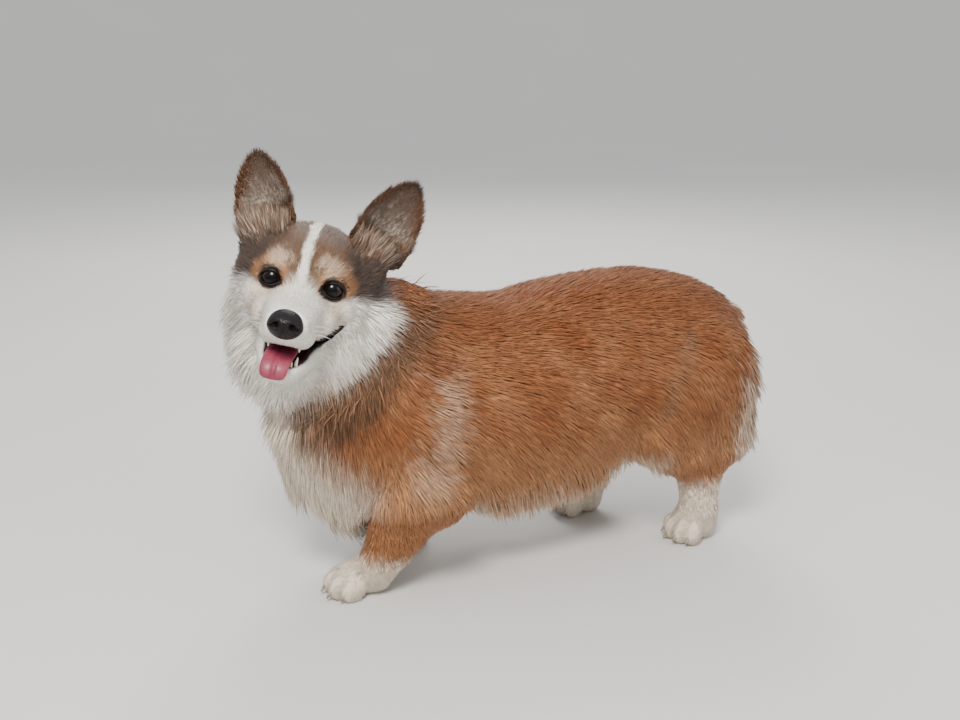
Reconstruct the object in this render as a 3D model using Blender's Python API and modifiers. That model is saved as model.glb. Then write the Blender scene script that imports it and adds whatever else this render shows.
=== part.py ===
"""Pembroke Welsh corgi, standing with its head turned to its left, modelled life size and still.

Metres, +X towards the dog's front, +Y to its left, +Z up, and the floor at z = 0.
Named forms of flesh are fused into smooth hulls, one for the trunk with its legs, one for the head and
one for each paw. Thin cuts part the hulls into nodes.
"""
import math
import random

import bmesh
import bpy
from mathutils import Euler, Matrix, Vector
from mathutils.bvhtree import BVHTree

# Driving sizes of the whole dog
GAP = 0.0003            # kept between nodes that touch
WITHERS_Z = 0.281       # top of the shoulders, coat included
CROUP_Z = 0.296         # highest point of the hindquarters
CHEST_HALF_WIDTH = 0.105
CORE_SHARE = 0.5        # share of the long coat's depth that the solid core takes

# Head: where the midpoint between the eyes is, and how the head is turned
HEAD_PLACE = Vector((0.2374, 0.0579, 0.3155))
HEAD_YAW = math.radians(71.0)
HEAD_PITCH = math.radians(10.0)
HEAD_ROLL = math.radians(12.5)     # the left side of the head hangs lower
EYE_SPOT = Vector((-0.0055, 0.0272, 0.0))
EYE_RADIUS = 0.0108
LID_THICK = 0.0022
JAW_OPEN = math.radians(24.0)
NOSE_SPOT = Vector((0.0650, 0.0, -0.0320))
NOSE_HALF = Vector((0.0125, 0.0150, 0.0130))
# Root and tip of the left ear (1), which is held a little further out, and of the right ear (-1)
EAR_SPOTS = {1: (Vector((-0.046, 0.0553, 0.0430)), Vector((-0.046, 0.0815, 0.1085))),
             -1: (Vector((-0.046, -0.0466, 0.0450)), Vector((-0.046, -0.0722, 0.1065)))}
EAR_HALF_WIDTH = 0.0300
EAR_THICK = 0.0046
EAR_TURN = math.radians(24.0)      # how far the cup of an ear faces outwards

# Paws: centre on the floor, the way the toes point in degrees to the dog's left, length, and the place
# of the elbow or hock that the leg hangs from
PAWS = {
    "forepaw_left": {"place": (0.190, 0.046), "turn": 6.0, "length": 0.072, "joint": (0.132, 0.074)},
    "forepaw_right": {"place": (0.121, -0.056), "turn": -4.0, "length": 0.072, "joint": (0.118, -0.074)},
    "hindpaw_left": {"place": (-0.180, 0.048), "turn": 10.0, "length": 0.061, "joint": (-0.184, 0.054)},
    "hindpaw_right": {"place": (-0.096, -0.063), "turn": -6.0, "length": 0.061, "joint": (-0.130, -0.066)},
}
ELBOW_Z = 0.112
HOCK_Z = 0.082
PAW_WIDTH = 0.048
WRIST_Z = 0.034                    # where a paw is parted from its leg
CLAW_LENGTH = 0.008

# Locks of the long coat: flat, tapered, rooted in a node's core and bending along the lie of the coat
LOCK_SINK = 0.005                  # depth of a root under the surface
LOCK_THICK = 0.0036
LOCK_PROFILE = ((0.75, 0.8), (1.00, 1.0), (0.78, 0.9), (0.0, 0.0))   # shares of width and thickness
LOCK_CLEAR = 0.0012                # height kept over the nodes that a lock only passes
LOCK_DROOP = 0.12                  # how soon a lock that has left the surface turns down
# A lock that would touch another node is tried again: share of its length, how far its root is moved
# back along the lie, and how much higher it passes the other nodes
LOCK_TRIES = ((1.0, 0.0, 0.0), (1.0, 0.0, 0.003), (1.0, 0.01, 0.002), (0.85, 0.018, 0.004), (0.7, 0.0, 0.002))
HAIRY_NODES = ("head", "neck", "chest", "abdomen", "rump", "thigh_left", "thigh_right",
               "foreleg_left", "foreleg_right")

MATERIALS = {
    "red_coat": ((0.46, 0.20, 0.08), 0.8),
    "sable_coat": ((0.24, 0.16, 0.11), 0.8),
    "white_coat": ((0.82, 0.78, 0.70), 0.8),
    "eye": ((0.03, 0.018, 0.012), 0.1),
    "nose_leather": ((0.02, 0.018, 0.018), 0.45),
    "tongue": ((0.55, 0.16, 0.18), 0.35),
}


def frame_of(forward, left, up, place):
    """Matrix that carries local X, Y, Z to forward, left, up at a place."""
    return Matrix.Translation(place) @ Matrix((forward, left, up)).transposed().to_4x4()


def tilted(place, pitch=0.0, yaw=0.0, roll=0.0):
    """Frame at a place, turned by degrees about X, then Y, then Z."""
    angles = [math.radians(angle) for angle in (roll, pitch, yaw)]
    return Matrix.Translation(place) @ Euler(angles).to_matrix().to_4x4()


def head_frame():
    cos_pitch = math.cos(HEAD_PITCH)
    forward = Vector((math.cos(HEAD_YAW) * cos_pitch, math.sin(HEAD_YAW) * cos_pitch, math.sin(HEAD_PITCH)))
    level = Vector((-math.sin(HEAD_YAW), math.cos(HEAD_YAW), 0.0))
    crown = forward.cross(level)
    left = level * math.cos(HEAD_ROLL) - crown * math.sin(HEAD_ROLL)
    return frame_of(forward, left, forward.cross(left), HEAD_PLACE)


WORLD = Matrix()
AIM_X = Matrix.Rotation(math.pi / 2, 4, "Y")       # turns Z to X
HEAD = head_frame()
JAW = HEAD @ Matrix.Translation((0.0, 0.0, -0.0495)) @ Matrix.Rotation(JAW_OPEN, 4, "Y")
NECK_CUT = tilted((0.158, 0.0, 0.228), pitch=36.0)
THROAT_CUT = tilted((0.200, 0.0, 0.2585), pitch=42.0, yaw=13.0)


def clear_scene():
    for obj in list(bpy.data.objects):
        bpy.data.objects.remove(obj)


def material(name):
    found = bpy.data.materials.get(name)
    if found:
        return found
    colour, roughness = MATERIALS[name]
    made = bpy.data.materials.new(name)
    made.use_nodes = True
    shader = made.node_tree.nodes["Principled BSDF"]
    shader.inputs["Base Color"].default_value = (*colour, 1.0)
    shader.inputs["Roughness"].default_value = roughness
    shader.inputs["Metallic"].default_value = 0.0
    return made


def named(obj, name, coat_name):
    obj.name = name
    obj.data.materials.clear()
    obj.data.materials.append(material(coat_name))
    return obj


def object_from(bm, name="shape"):
    bm.normal_update()
    bmesh.ops.recalc_face_normals(bm, faces=bm.faces)
    mesh = bpy.data.meshes.new(name)
    bm.to_mesh(mesh)
    bm.free()
    obj = bpy.data.objects.new(name, mesh)
    bpy.context.scene.collection.objects.link(obj)
    return obj


def apply_modifiers(obj):
    """Replaces an object's mesh by what its modifiers make of it."""
    graph = bpy.context.evaluated_depsgraph_get()
    mesh = bpy.data.meshes.new_from_object(obj.evaluated_get(graph))
    old = obj.data
    obj.modifiers.clear()
    obj.data = mesh
    bpy.data.meshes.remove(old)
    return obj


# ---------------------------------------------------------------- forms of flesh

def egg(bm, centre, half, turn=(0.0, 0.0, 0.0), frame=WORLD, detail=3):
    """An ellipsoid: centre, half sizes and turn in degrees, in a frame of its own if given."""
    rotation = Euler([math.radians(angle) for angle in turn]).to_matrix().to_4x4()
    place = Matrix.Translation(centre) @ rotation @ Matrix.Diagonal((*half, 1.0))
    bmesh.ops.create_icosphere(bm, subdivisions=detail, radius=1.0, matrix=frame @ place)


def pair(bm, centre, half, turn=(0.0, 0.0, 0.0), frame=WORLD):
    """An ellipsoid and its mirror image across the plane y = 0."""
    x, y, z = centre
    egg(bm, (x, y, z), half, turn, frame)
    egg(bm, (x, -y, z), half, (-turn[0], turn[1], -turn[2]), frame)


def loft(bm, stations, hint=(0.0, 0.0, 1.0), frame=WORLD, sides=20, square=2.3, grow=0.0):
    """A closed tube of egg-shaped sections. A station is (centre, half width, half up, half down),
    where up is the hint's side of the section. grow widens every section."""
    centres = [Vector(station[0]) for station in stations]
    rings = []
    for i, (centre, width, up, down) in enumerate(stations):
        along = (centres[min(i + 1, len(centres) - 1)] - centres[max(i - 1, 0)]).normalized()
        side = Vector(hint).cross(along).normalized()
        rise = along.cross(side)
        ring = bmesh.ops.create_circle(bm, segments=sides, radius=1.0)["verts"]
        for v in ring:
            across, over = [math.copysign(abs(c) ** (2.0 / square), c) for c in v.co.xy]
            height = (up if over > 0 else down) + grow
            v.co = frame @ (Vector(centre) + side * ((width + grow) * across) + rise * (height * over))
        rings.append(ring)
    close_rings(bm, rings)


def close_rings(bm, rings):
    """Skins a row of rings and closes both ends."""
    count = len(rings[0])
    for near, far in zip(rings, rings[1:]):
        for i in range(count):
            j = (i + 1) % count
            bm.faces.new((near[i], near[j], far[j], far[i]))
    bm.faces.new(rings[0])
    bm.faces.new(rings[-1])


def coat(skin, depth):
    """Half size of a form with a long coat: the skin's, and the core's share of the coat."""
    return skin + depth * CORE_SHARE


def torso_forms(bm):
    """Barrel from the breeches to the breastbone: x, centre height, half width, up, height of the skin
    under the belly, and depth of the fringe that hangs from it."""
    barrel = (
        (-0.236, 0.195, 0.046, 0.046, 0.150, 0.004),
        (-0.215, 0.195, 0.076, 0.077, 0.125, 0.006),
        (-0.185, 0.195, 0.092, 0.091, 0.118, 0.008),
        (-0.140, 0.190, 0.097, CROUP_Z - 0.190, 0.110, 0.010),
        (-0.090, 0.185, 0.096, 0.111, 0.102, 0.018),
        (-0.040, 0.170, 0.101, 0.120, 0.090, 0.031),
        (0.010, 0.163, CHEST_HALF_WIDTH, 0.116, 0.086, 0.038),
        (0.060, 0.162, CHEST_HALF_WIDTH, WITHERS_Z - 0.162, 0.085, 0.040),
        (0.110, 0.165, 0.102, 0.119, 0.085, 0.040),
        (0.155, 0.165, 0.093, 0.108, 0.087, 0.044),
        (0.195, 0.165, 0.078, 0.085, 0.094, 0.046),
        (0.228, 0.162, 0.058, 0.060, 0.108, 0.042),
        (0.254, 0.160, 0.034, 0.036, 0.126, 0.030),
    )
    stations = []
    for x, z, width, up, skin_bottom, fringe in barrel:
        stations.append(((x, 0.0, z), width, up, z - skin_bottom + fringe * CORE_SHARE))
    loft(bm, stations, sides=28)
    egg(bm, (0.209, 0.000, 0.178), (coat(0.044, 0.014), 0.064, 0.082))      # bib over the breastbone
    pair(bm, (0.118, 0.066, 0.165), (0.064, 0.044, 0.088), (0, 12, 0))      # shoulder
    pair(bm, (-0.160, 0.060, 0.180), (0.074, 0.044, 0.086), (0, -14, 0))    # buttock and thigh
    egg(bm, (-0.232, 0.000, 0.180), (coat(0.014, 0.016), 0.056, 0.062))     # breeches under the tail
    pair(bm, (-0.200, 0.052, 0.134), (coat(0.034, 0.014), 0.034, 0.062), (0, 4, 0))     # breeches
    tail = (((-0.220, 0, 0.236), 0.020, 0.017, 0.017), ((-0.246, 0, 0.234), 0.016, 0.014, 0.014),
            ((-0.264, 0, 0.228), 0.009, 0.008, 0.008))
    loft(bm, tail, sides=12)                                                # docked tail


def neck_forms(bm):
    """Thick neck from the withers and breast up to the back of the skull, with its ruff."""
    ruff = 0.014
    column = (
        ((0.125, 0.000, 0.175), 0.088, 0.088, 0.088),
        ((0.160, 0.000, 0.210), coat(0.074, ruff), 0.084, coat(0.078, ruff)),
        ((0.188, 0.002, 0.245), coat(0.067, ruff), 0.076, coat(0.072, ruff)),
        ((0.204, 0.002, 0.275), coat(0.058, ruff), 0.068, coat(0.064, ruff)),
        ((0.212, 0.000, 0.305), 0.050, 0.052, 0.050),
    )
    loft(bm, column, hint=(-1.0, 0.0, 0.4), sides=24)
    egg(bm, (0.236, 0.020, 0.232), (0.036, 0.050, 0.050))                   # throat under the jaw
    egg(bm, (0.144, 0.000, 0.262), (0.052, 0.056, coat(0.036, ruff)))       # nape


def foreleg_forms(bm, name):
    """Upper arm, forearm and wrist, down into the paw."""
    paw = PAWS[name]
    foot = Vector((*paw["place"], 0.0))
    side = math.copysign(1.0, foot.y)
    heel = foot - Vector((0.20 * paw["length"], 0.0, 0.0))
    elbow = Vector((*paw["joint"], ELBOW_Z))
    egg(bm, elbow + Vector((-0.006, 0.004 * side, 0.0)), (0.048, 0.033, 0.046))
    bends = ((0.0, 0.000, 0.034, 0.040, 0.040), (0.25, 0.007, 0.031, 0.036, 0.038),
             (0.48, 0.005, 0.027, 0.030, 0.031), (0.66, 0.009, 0.0225, 0.0225, 0.0225),
             (0.78, 0.010, 0.0215, 0.0215, 0.0215), (0.90, 0.008, 0.018, 0.018, 0.018))
    joints = []
    for t, bulge, width, front, back in bends:
        joints.append((elbow.lerp(heel, t) + Vector((bulge, 0, 0)), width, front, back))
    loft(bm, joints, hint=(1.0, 0.0, 0.0), sides=18, square=2.1)


def hind_leg_forms(bm, name):
    """Stifle, lower thigh, hock and rear pastern, down into the paw."""
    paw = PAWS[name]
    foot = Vector((*paw["place"], 0.0))
    side = math.copysign(1.0, foot.y)
    heel = foot - Vector((0.16 * paw["length"], 0.0, 0.0))
    hock = Vector((*paw["joint"], HOCK_Z))
    stifle = hock + Vector((0.062, 0.012 * side, 0.054))
    egg(bm, stifle, (0.036, 0.032, 0.042), (0, 20, 0))
    joints = ((stifle + Vector((-0.030, 0, 0.022)), 0.036, 0.056, 0.056),
              (stifle.lerp(hock, 0.60) + Vector((0, 0, 0.006)), 0.031, 0.040, 0.040),
              (hock, 0.0245, 0.029, 0.028),
              (hock.lerp(heel, 0.36), 0.0215, 0.0240, 0.0235),
              (heel + Vector((0.002, 0, 0.028)), 0.0210, 0.0225, 0.0220),
              (heel + Vector((0.002, 0, 0.012)), 0.017, 0.017, 0.017))
    loft(bm, joints, hint=(1.0, 0.0, 0.0), sides=18, square=2.1)


def leg_forms(bm, name):
    if name.startswith("fore"):
        foreleg_forms(bm, name)
    else:
        hind_leg_forms(bm, name)


def head_forms(bm):
    """Skull, muzzle, cheeks and open jaw, in the head's own frame: X to the nose, Y left, Z to the crown."""
    egg(bm, (-0.050, 0.000, 0.008), (0.066, 0.058, 0.050), frame=HEAD)      # braincase
    egg(bm, (-0.026, 0.000, 0.012), (0.040, 0.046, 0.032), frame=HEAD)      # forehead
    pair(bm, (-0.009, 0.0215, 0.0125), (0.016, 0.0155, 0.0105), frame=HEAD)  # brows
    pair(bm, (-0.034, 0.036, -0.018), (0.042, 0.025, 0.032), frame=HEAD)    # cheekbones
    pair(bm, (-0.004, 0.027, -0.030), (0.028, 0.016, 0.020), frame=HEAD)    # cheek running into the muzzle
    muzzle = (
        ((-0.035, 0, -0.020), 0.044, 0.022, 0.026),
        ((-0.012, 0, -0.021), 0.0360, 0.021, 0.026),
        ((0.009, 0, -0.025), 0.0302, 0.0200, 0.025),
        ((0.026, 0, -0.029), 0.0270, 0.0180, 0.025),
        ((0.045, 0, -0.032), 0.0243, 0.0160, 0.023),
        ((0.059, 0, -0.033), 0.0197, 0.0130, 0.018),
        ((0.065, 0, -0.034), 0.0115, 0.0095, 0.011),
    )
    loft(bm, muzzle, frame=HEAD, sides=22, square=2.5)
    pair(bm, (0.039, 0.0130, -0.041), (0.020, 0.0130, 0.0135), frame=HEAD)  # whisker pads
    jaw = (
        ((-0.030, 0, -0.012), 0.037, 0.012, 0.022),
        ((0.000, 0, -0.010), 0.0335, 0.010, 0.019),
        ((0.016, 0, -0.010), 0.0285, 0.010, 0.0160),
        ((0.031, 0, -0.010), 0.0235, 0.010, 0.0140),
        ((0.044, 0, -0.010), 0.0180, 0.0095, 0.0120),
        ((0.052, 0, -0.010), 0.0110, 0.0080, 0.0090),
        ((0.056, 0, -0.010), 0.0060, 0.0050, 0.0055),
    )
    loft(bm, jaw, frame=JAW, sides=20, square=2.5)
    ruff = 0.018                                                            # depth of the cheek ruff
    pair(bm, (-0.047, 0.046, -0.024), (0.036, coat(0.012, ruff), coat(0.034, ruff)), (-4, 0, 0), HEAD)
    pair(bm, (-0.047, 0.037, -0.054), (0.032, coat(0.011, ruff), coat(0.026, ruff)), frame=HEAD)
    pair(bm, (-0.046, 0.029, -0.060 - 0.016 * CORE_SHARE), (0.032, coat(0.009, 0.020), coat(0.010, 0.040)),
         (12, 0, 0), HEAD)
    egg(bm, (-0.050, 0.0, -0.060), (0.044, 0.048, 0.036), frame=HEAD)       # throat
    pair(bm, (-0.047, 0.0480, 0.024), (0.025, 0.028, 0.033), frame=HEAD)    # roots of the ears
    pair(bm, (-0.046, 0.0470, 0.000), (0.030, 0.024, 0.032), frame=HEAD)    # temples


def paw_frame(name):
    paw = PAWS[name]
    return Matrix.Translation((*paw["place"], 0.0)) @ Matrix.Rotation(math.radians(paw["turn"]), 4, "Z")


def toes(name):
    """Each toe's centre, half sizes and spread in degrees, in the paw's own frame."""
    half = PAWS[name]["length"] / 2.0
    width = PAW_WIDTH / 2.0
    for y, reach, spread in ((-0.74, 0.36, -12), (-0.30, 0.60, -4), (0.30, 0.60, 4), (0.74, 0.36, 12)):
        yield Vector((reach * half, y * width, 0.0115)), (0.42 * half, 0.31 * width, 0.0150), spread


def paw_forms(bm, name):
    """Four arched toes and the pad behind them."""
    half = PAWS[name]["length"] / 2.0
    width = PAW_WIDTH / 2.0
    frame = paw_frame(name)
    egg(bm, (-0.34 * half, 0, 0.018), (0.64 * half, 0.90 * width, 0.022), frame=frame)
    egg(bm, (0.20 * half, 0, 0.019), (0.52 * half, 0.88 * width, 0.018), (0, 14, 0), frame)
    for centre, sizes, spread in toes(name):
        egg(bm, centre, sizes, (0, 8, spread), frame)


def hull(bm, name, voxel, smoothing, triangles):
    """One closed, smoothed hull around all the forms of a bmesh, of about so many triangles."""
    obj = object_from(bm, name)
    fuse = obj.modifiers.new("fuse", "REMESH")
    fuse.mode = "VOXEL"
    fuse.voxel_size = voxel
    ease = obj.modifiers.new("ease", "SMOOTH")
    ease.factor = 0.5
    ease.iterations = smoothing
    apply_modifiers(obj)
    coarsen = obj.modifiers.new("coarsen", "DECIMATE")
    coarsen.ratio = triangles / (2.0 * len(obj.data.polygons))
    coarsen.use_collapse_triangulate = True
    return apply_modifiers(obj)


# ---------------------------------------------------------------- parting into nodes

def block(frame, low, high):
    """A box cutter between two corners of a frame."""
    bm = bmesh.new()
    bmesh.ops.create_cube(bm, size=1.0)
    low, high = Vector(low), Vector(high)
    bm.transform(frame @ Matrix.Translation((low + high) / 2) @ Matrix.Diagonal((*(high - low), 1.0)))
    return object_from(bm)


def boolean(obj, other, operation):
    """Combines an object with another, which is used up."""
    change = obj.modifiers.new("combine", "BOOLEAN")
    change.object = other
    change.operation = operation
    change.solver = "MANIFOLD"
    apply_modifiers(obj)
    bpy.data.objects.remove(other)
    return obj


def carve(obj, frame, centre, half, turn=(0.0, 0.0, 0.0), operation="DIFFERENCE", detail=3):
    """Takes an ellipsoid out of an object, or joins it on."""
    bm = bmesh.new()
    egg(bm, centre, half, turn, frame, detail)
    return boolean(obj, object_from(bm), operation)


def largest_body(obj):
    """Keeps only the object's largest closed surface."""
    bm = bmesh.new()
    bm.from_mesh(obj.data)
    left = set(bm.verts)
    bodies = []
    while left:
        body, front = [], [left.pop()]
        while front:
            v = front.pop()
            body.append(v)
            for edge in v.link_edges:
                other = edge.other_vert(v)
                if other in left:
                    left.remove(other)
                    front.append(other)
        bodies.append(body)
    bodies.sort(key=len, reverse=True)
    bmesh.ops.delete(bm, geom=[v for body in bodies[1:] for v in body], context="VERTS")
    bm.to_mesh(obj.data)
    bm.free()
    return obj


def part_off(source, name, coat_name, frame, low, high):
    """Cuts what lies in a box out of the source as a node of its own, leaving the thin gap all round."""
    piece = bpy.data.objects.new(name, source.data.copy())
    bpy.context.scene.collection.objects.link(piece)
    boolean(piece, block(frame, low, high), "INTERSECT")
    room = Vector((GAP, GAP, GAP))
    boolean(source, block(frame, Vector(low) - room, Vector(high) + room), "DIFFERENCE")
    largest_body(source)
    return named(largest_body(piece), name, coat_name)


def leg_frame(paw):
    """Frame at an elbow, with Z up along the foreleg."""
    elbow = Vector((*paw["joint"], ELBOW_Z))
    up = (elbow - Vector((*paw["place"], 0.0))).normalized()
    forward = (Vector((1.0, 0.0, 0.0)) - up * up.x).normalized()
    return frame_of(forward, up.cross(forward), up, elbow)


def leg_spans(paw_name):
    """The box that parts each length of a leg from the trunk: node, coat, frame and two corners."""
    paw = PAWS[paw_name]
    end, word = paw_name.split("_")
    x = paw["joint"][0]
    if end == "forepaw":
        spans = [("foreleg", "red_coat", leg_frame(paw), (-0.056, -0.040, -0.2), (0.048, 0.080, -0.012))]
    else:
        spans = [("shank", "white_coat", WORLD, (x - 0.070, 0.014, 0.0), (x + 0.050, 0.150, 0.096)),
                 ("thigh", "red_coat", WORLD, (-0.290, 0.052, 0.096 + GAP), (x + 0.100, 0.150, 0.240))]
    for kind, coat_name, frame, low, high in spans:
        if word == "right":
            low, high = (low[0], -high[1], low[2]), (high[0], -low[1], high[2])
        yield kind + "_" + word, coat_name, frame, low, high


def make_trunk():
    """Neck, legs, tail and three lengths of the torso, all cut from the trunk's hull."""
    bm = bmesh.new()
    torso_forms(bm)
    neck_forms(bm)
    head_forms(bm)
    for name in PAWS:
        leg_forms(bm, name)
    trunk = hull(bm, "trunk", 0.0030, 24, 2560)
    boolean(trunk, block(THROAT_CUT, (-0.5, -0.5, GAP / -2), (0.5, 0.5, 0.5)), "DIFFERENCE")
    boolean(trunk, block(WORLD, (-0.5, -0.5, -0.1), (0.5, 0.5, WRIST_Z + GAP)), "DIFFERENCE")
    largest_body(trunk)
    nodes = [part_off(trunk, "neck", "red_coat", NECK_CUT, (-0.25, -0.2, 0.0), (0.2, 0.2, 0.3)),
             part_off(trunk, "tail", "red_coat", WORLD, (-0.35, -0.04, 0.215), (-0.241, 0.04, 0.30))]
    for paw_name in PAWS:
        for name, coat_name, frame, low, high in leg_spans(paw_name):
            nodes.append(part_off(trunk, name, coat_name, frame, low, high))
    nodes.append(part_off(trunk, "rump", "red_coat", WORLD, (-0.40, -0.3, 0.0), (-0.085, 0.3, 0.5)))
    nodes.append(part_off(trunk, "abdomen", "red_coat", WORLD, (-0.085 + GAP, -0.3, 0.0), (0.025, 0.3, 0.5)))
    nodes.append(named(trunk, "chest", "red_coat"))
    return nodes


def ear_frame(side):
    """Frame at the root of an ear: X out of its cup and Z along it. side is 1 for left, -1 for right."""
    root, tip = EAR_SPOTS[side]
    along = (tip - root).normalized()
    facing = Vector((math.cos(EAR_TURN), math.sin(EAR_TURN) * side, 0.0))
    facing = (facing - along * facing.dot(along)).normalized()
    return HEAD @ frame_of(facing, along.cross(facing), along, root), (tip - root).length


def ear_ring(bm, frame, height, half_width, opening, thick, back):
    """One section of an ear: a bent strip, thinner at its edges, open towards X."""
    steps = 5
    radius = half_width / math.sin(min(opening, math.pi / 2))
    points = []
    for k in range(-steps, steps + 1):
        angle = opening * k / steps
        points.append((back + radius * (1 - math.cos(angle)), radius * math.sin(angle)))
    for k in range(steps, -steps - 1, -1):
        angle = opening * 0.97 * k / steps
        inner = max(radius - thick * (1.0 - 0.45 * abs(k / steps) ** 3), radius * 0.25)
        points.append((back + radius - inner * math.cos(angle), inner * math.sin(angle)))
    return [bm.verts.new(frame @ Vector((x, y, height))) for x, y in points]


def make_ears(head):
    """Upright ears: leaf-shaped shells whose cups face forward and a little outward."""
    stations = ((0.00, 0.94, 96), (0.12, 1.00, 86), (0.27, 1.00, 72), (0.42, 0.98, 60), (0.57, 0.91, 52),
                (0.71, 0.77, 46), (0.83, 0.58, 42), (0.92, 0.39, 38), (0.975, 0.22, 36), (1.00, 0.09, 34))
    ears = []
    for word, side in (("left", 1), ("right", -1)):
        frame, length = ear_frame(side)
        boolean(head, block(frame, (-0.036, -0.042, 0.0), (0.036, 0.042, 0.030)), "DIFFERENCE")
        bm = bmesh.new()
        rings = []
        for t, width, opening in stations:
            thick = EAR_THICK * (1.0 - 0.35 * t)
            back = -0.022 + 0.016 * t
            rings.append(ear_ring(bm, frame, GAP + length * t, EAR_HALF_WIDTH * width, math.radians(opening),
                                  thick, back))
        close_rings(bm, rings)
        bmesh.ops.triangulate(bm, faces=bm.faces)
        ears.append(named(object_from(bm), "ear_" + word, "sable_coat"))
    largest_body(head)
    return ears


def eyeball(place, radius):
    bm = bmesh.new()
    bmesh.ops.create_uvsphere(bm, u_segments=16, v_segments=9, radius=radius, matrix=place @ AIM_X)
    return object_from(bm)


def make_eyes(head):
    """Eyeballs in their sockets, with raised lids that leave an almond-shaped opening."""
    eyes = []
    for word, side in (("left", 1), ("right", -1)):
        place = HEAD @ tilted((EYE_SPOT.x, EYE_SPOT.y * side, EYE_SPOT.z), yaw=10.0 * side, roll=-6.0 * side)
        carve(head, place, (0, 0, 0), [EYE_RADIUS + LID_THICK] * 3, operation="UNION")
        carve(head, place, (0.0130, 0, 0), (0.0100, 0.0126, 0.0092), detail=2)
        boolean(head, eyeball(place, EYE_RADIUS), "DIFFERENCE")
        eyes.append(named(eyeball(place, EYE_RADIUS - GAP), "eye_" + word, "eye"))
    largest_body(head)
    return eyes


def make_nose(head):
    """Nose pad set into the end of the muzzle, with two comma-shaped nostrils."""
    carve(head, HEAD, NOSE_SPOT, NOSE_HALF + Vector((GAP, GAP, GAP)))
    largest_body(head)
    pad = bmesh.new()
    egg(pad, NOSE_SPOT, NOSE_HALF, frame=HEAD)
    nose = object_from(pad)
    for side in (1, -1):
        hole = NOSE_SPOT + Vector((0.0098, 0.0070 * side, -0.0008))
        carve(nose, HEAD, hole, (0.0064, 0.0042, 0.0028), (16 * side, 0, 28 * side), detail=1)
    return named(largest_body(nose), "nose", "nose_leather")


def make_tongue(grow=0.0):
    """Tongue that lies in the lower jaw and hangs over its lip."""
    course = (
        ((-0.004, 0.000, -0.0010), 0.0110, 0.0024, 0.0024),
        ((0.016, -0.001, 0.0020), 0.0130, 0.0026, 0.0026),
        ((0.031, -0.002, 0.0045), 0.0132, 0.0028, 0.0028),
        ((0.045, -0.003, 0.0050), 0.0128, 0.0028, 0.0028),
        ((0.0540, -0.004, 0.0025), 0.0126, 0.0026, 0.0026),
        ((0.0600, -0.004, -0.0040), 0.0120, 0.0024, 0.0024),
        ((0.0615, -0.004, -0.0085), 0.0088, 0.0020, 0.0020),
    )
    bm = bmesh.new()
    loft(bm, course, hint=(0.3, 0.0, 1.0), frame=JAW, sides=12, square=2.4, grow=grow)
    return named(object_from(bm), "tongue", "tongue")


def mouth_corner(side):
    """Cutter for one corner of the smiling mouth: a wedge that narrows and rises out to the cheek."""
    slices = (
        (0.0180, (-0.012, -0.0510), (0.034, -0.0500), (0.034, -0.0640)),
        (0.0250, (-0.008, -0.0480), (0.032, -0.0495), (0.032, -0.0620)),
        (0.0320, (-0.002, -0.0430), (0.026, -0.0460), (0.026, -0.0570)),
        (0.0400, (0.001, -0.0350), (0.020, -0.0365), (0.020, -0.0430)),
        (0.0460, (0.003, -0.0300), (0.018, -0.0300), (0.018, -0.0320)),
    )
    bm = bmesh.new()
    rings = []
    for y, *corners in slices:
        rings.append([bm.verts.new(HEAD @ Vector((x, y * side, z))) for x, z in corners])
    close_rings(bm, rings)
    return object_from(bm)


def make_mouth(head):
    """Hollows the mouth, lays the tongue in it and parts off the lower jaw with its canine teeth."""
    carve(head, HEAD, (0.022, 0, -0.0555), (0.036, 0.0200, 0.0125), (0, 12, 0))
    for side in (1, -1):
        boolean(head, mouth_corner(side), "DIFFERENCE")
    boolean(head, make_tongue(GAP), "DIFFERENCE")
    largest_body(head)
    tongue = make_tongue()
    jaw = part_off(head, "lower_jaw", "white_coat", JAW, (0.004, -0.06, -0.031), (0.10, 0.06, 0.004))
    for side in (1, -1):
        place = JAW @ tilted((0.042, 0.0165 * side, 0.0), pitch=10.0, roll=-8.0 * side)
        tooth = bmesh.new()
        bmesh.ops.create_cone(tooth, cap_ends=True, segments=6, radius1=0.0024, radius2=0.0006, depth=0.014,
                              matrix=place)
        boolean(jaw, object_from(tooth), "UNION")
    return [tongue, largest_body(jaw)]


def make_head():
    bm = bmesh.new()
    head_forms(bm)
    neck_forms(bm)
    head = hull(bm, "head", 0.0018, 14, 2480)
    boolean(head, block(THROAT_CUT, (-0.6, -0.6, -0.8), (0.6, 0.6, GAP / 2)), "DIFFERENCE")
    largest_body(head)
    nodes = make_eyes(head) + [make_nose(head)] + make_mouth(head) + make_ears(head)
    return [named(head, "head", "sable_coat")] + nodes


def make_paw(name):
    """A paw cut flat where it stands, with four blunt claws."""
    bm = bmesh.new()
    paw_forms(bm, name)
    leg_forms(bm, name)
    paw = hull(bm, name, 0.0020, 3, 450)
    boolean(paw, block(WORLD, (-0.5, -0.5, -0.1), (0.5, 0.5, 0.0)), "DIFFERENCE")
    boolean(paw, block(WORLD, (-0.5, -0.5, WRIST_Z), (0.5, 0.5, 0.5)), "DIFFERENCE")
    frame = paw_frame(name)
    for centre, sizes, spread in toes(name):
        reach = math.radians(spread)
        out = Vector((math.cos(reach), math.sin(reach), 0.0))
        spot = centre + out * (sizes[0] + 0.0005) + Vector((0, 0, -0.003))
        claw = bmesh.new()
        bmesh.ops.create_cone(claw, cap_ends=True, segments=6, radius1=0.0026, radius2=0.0008,
                              depth=CLAW_LENGTH, matrix=frame @ tilted(spot, pitch=112.0, yaw=spread))
        boolean(paw, object_from(claw), "UNION")
    return named(largest_body(paw), name, "white_coat")


# ---------------------------------------------------------------- locks of the long coat

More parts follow.
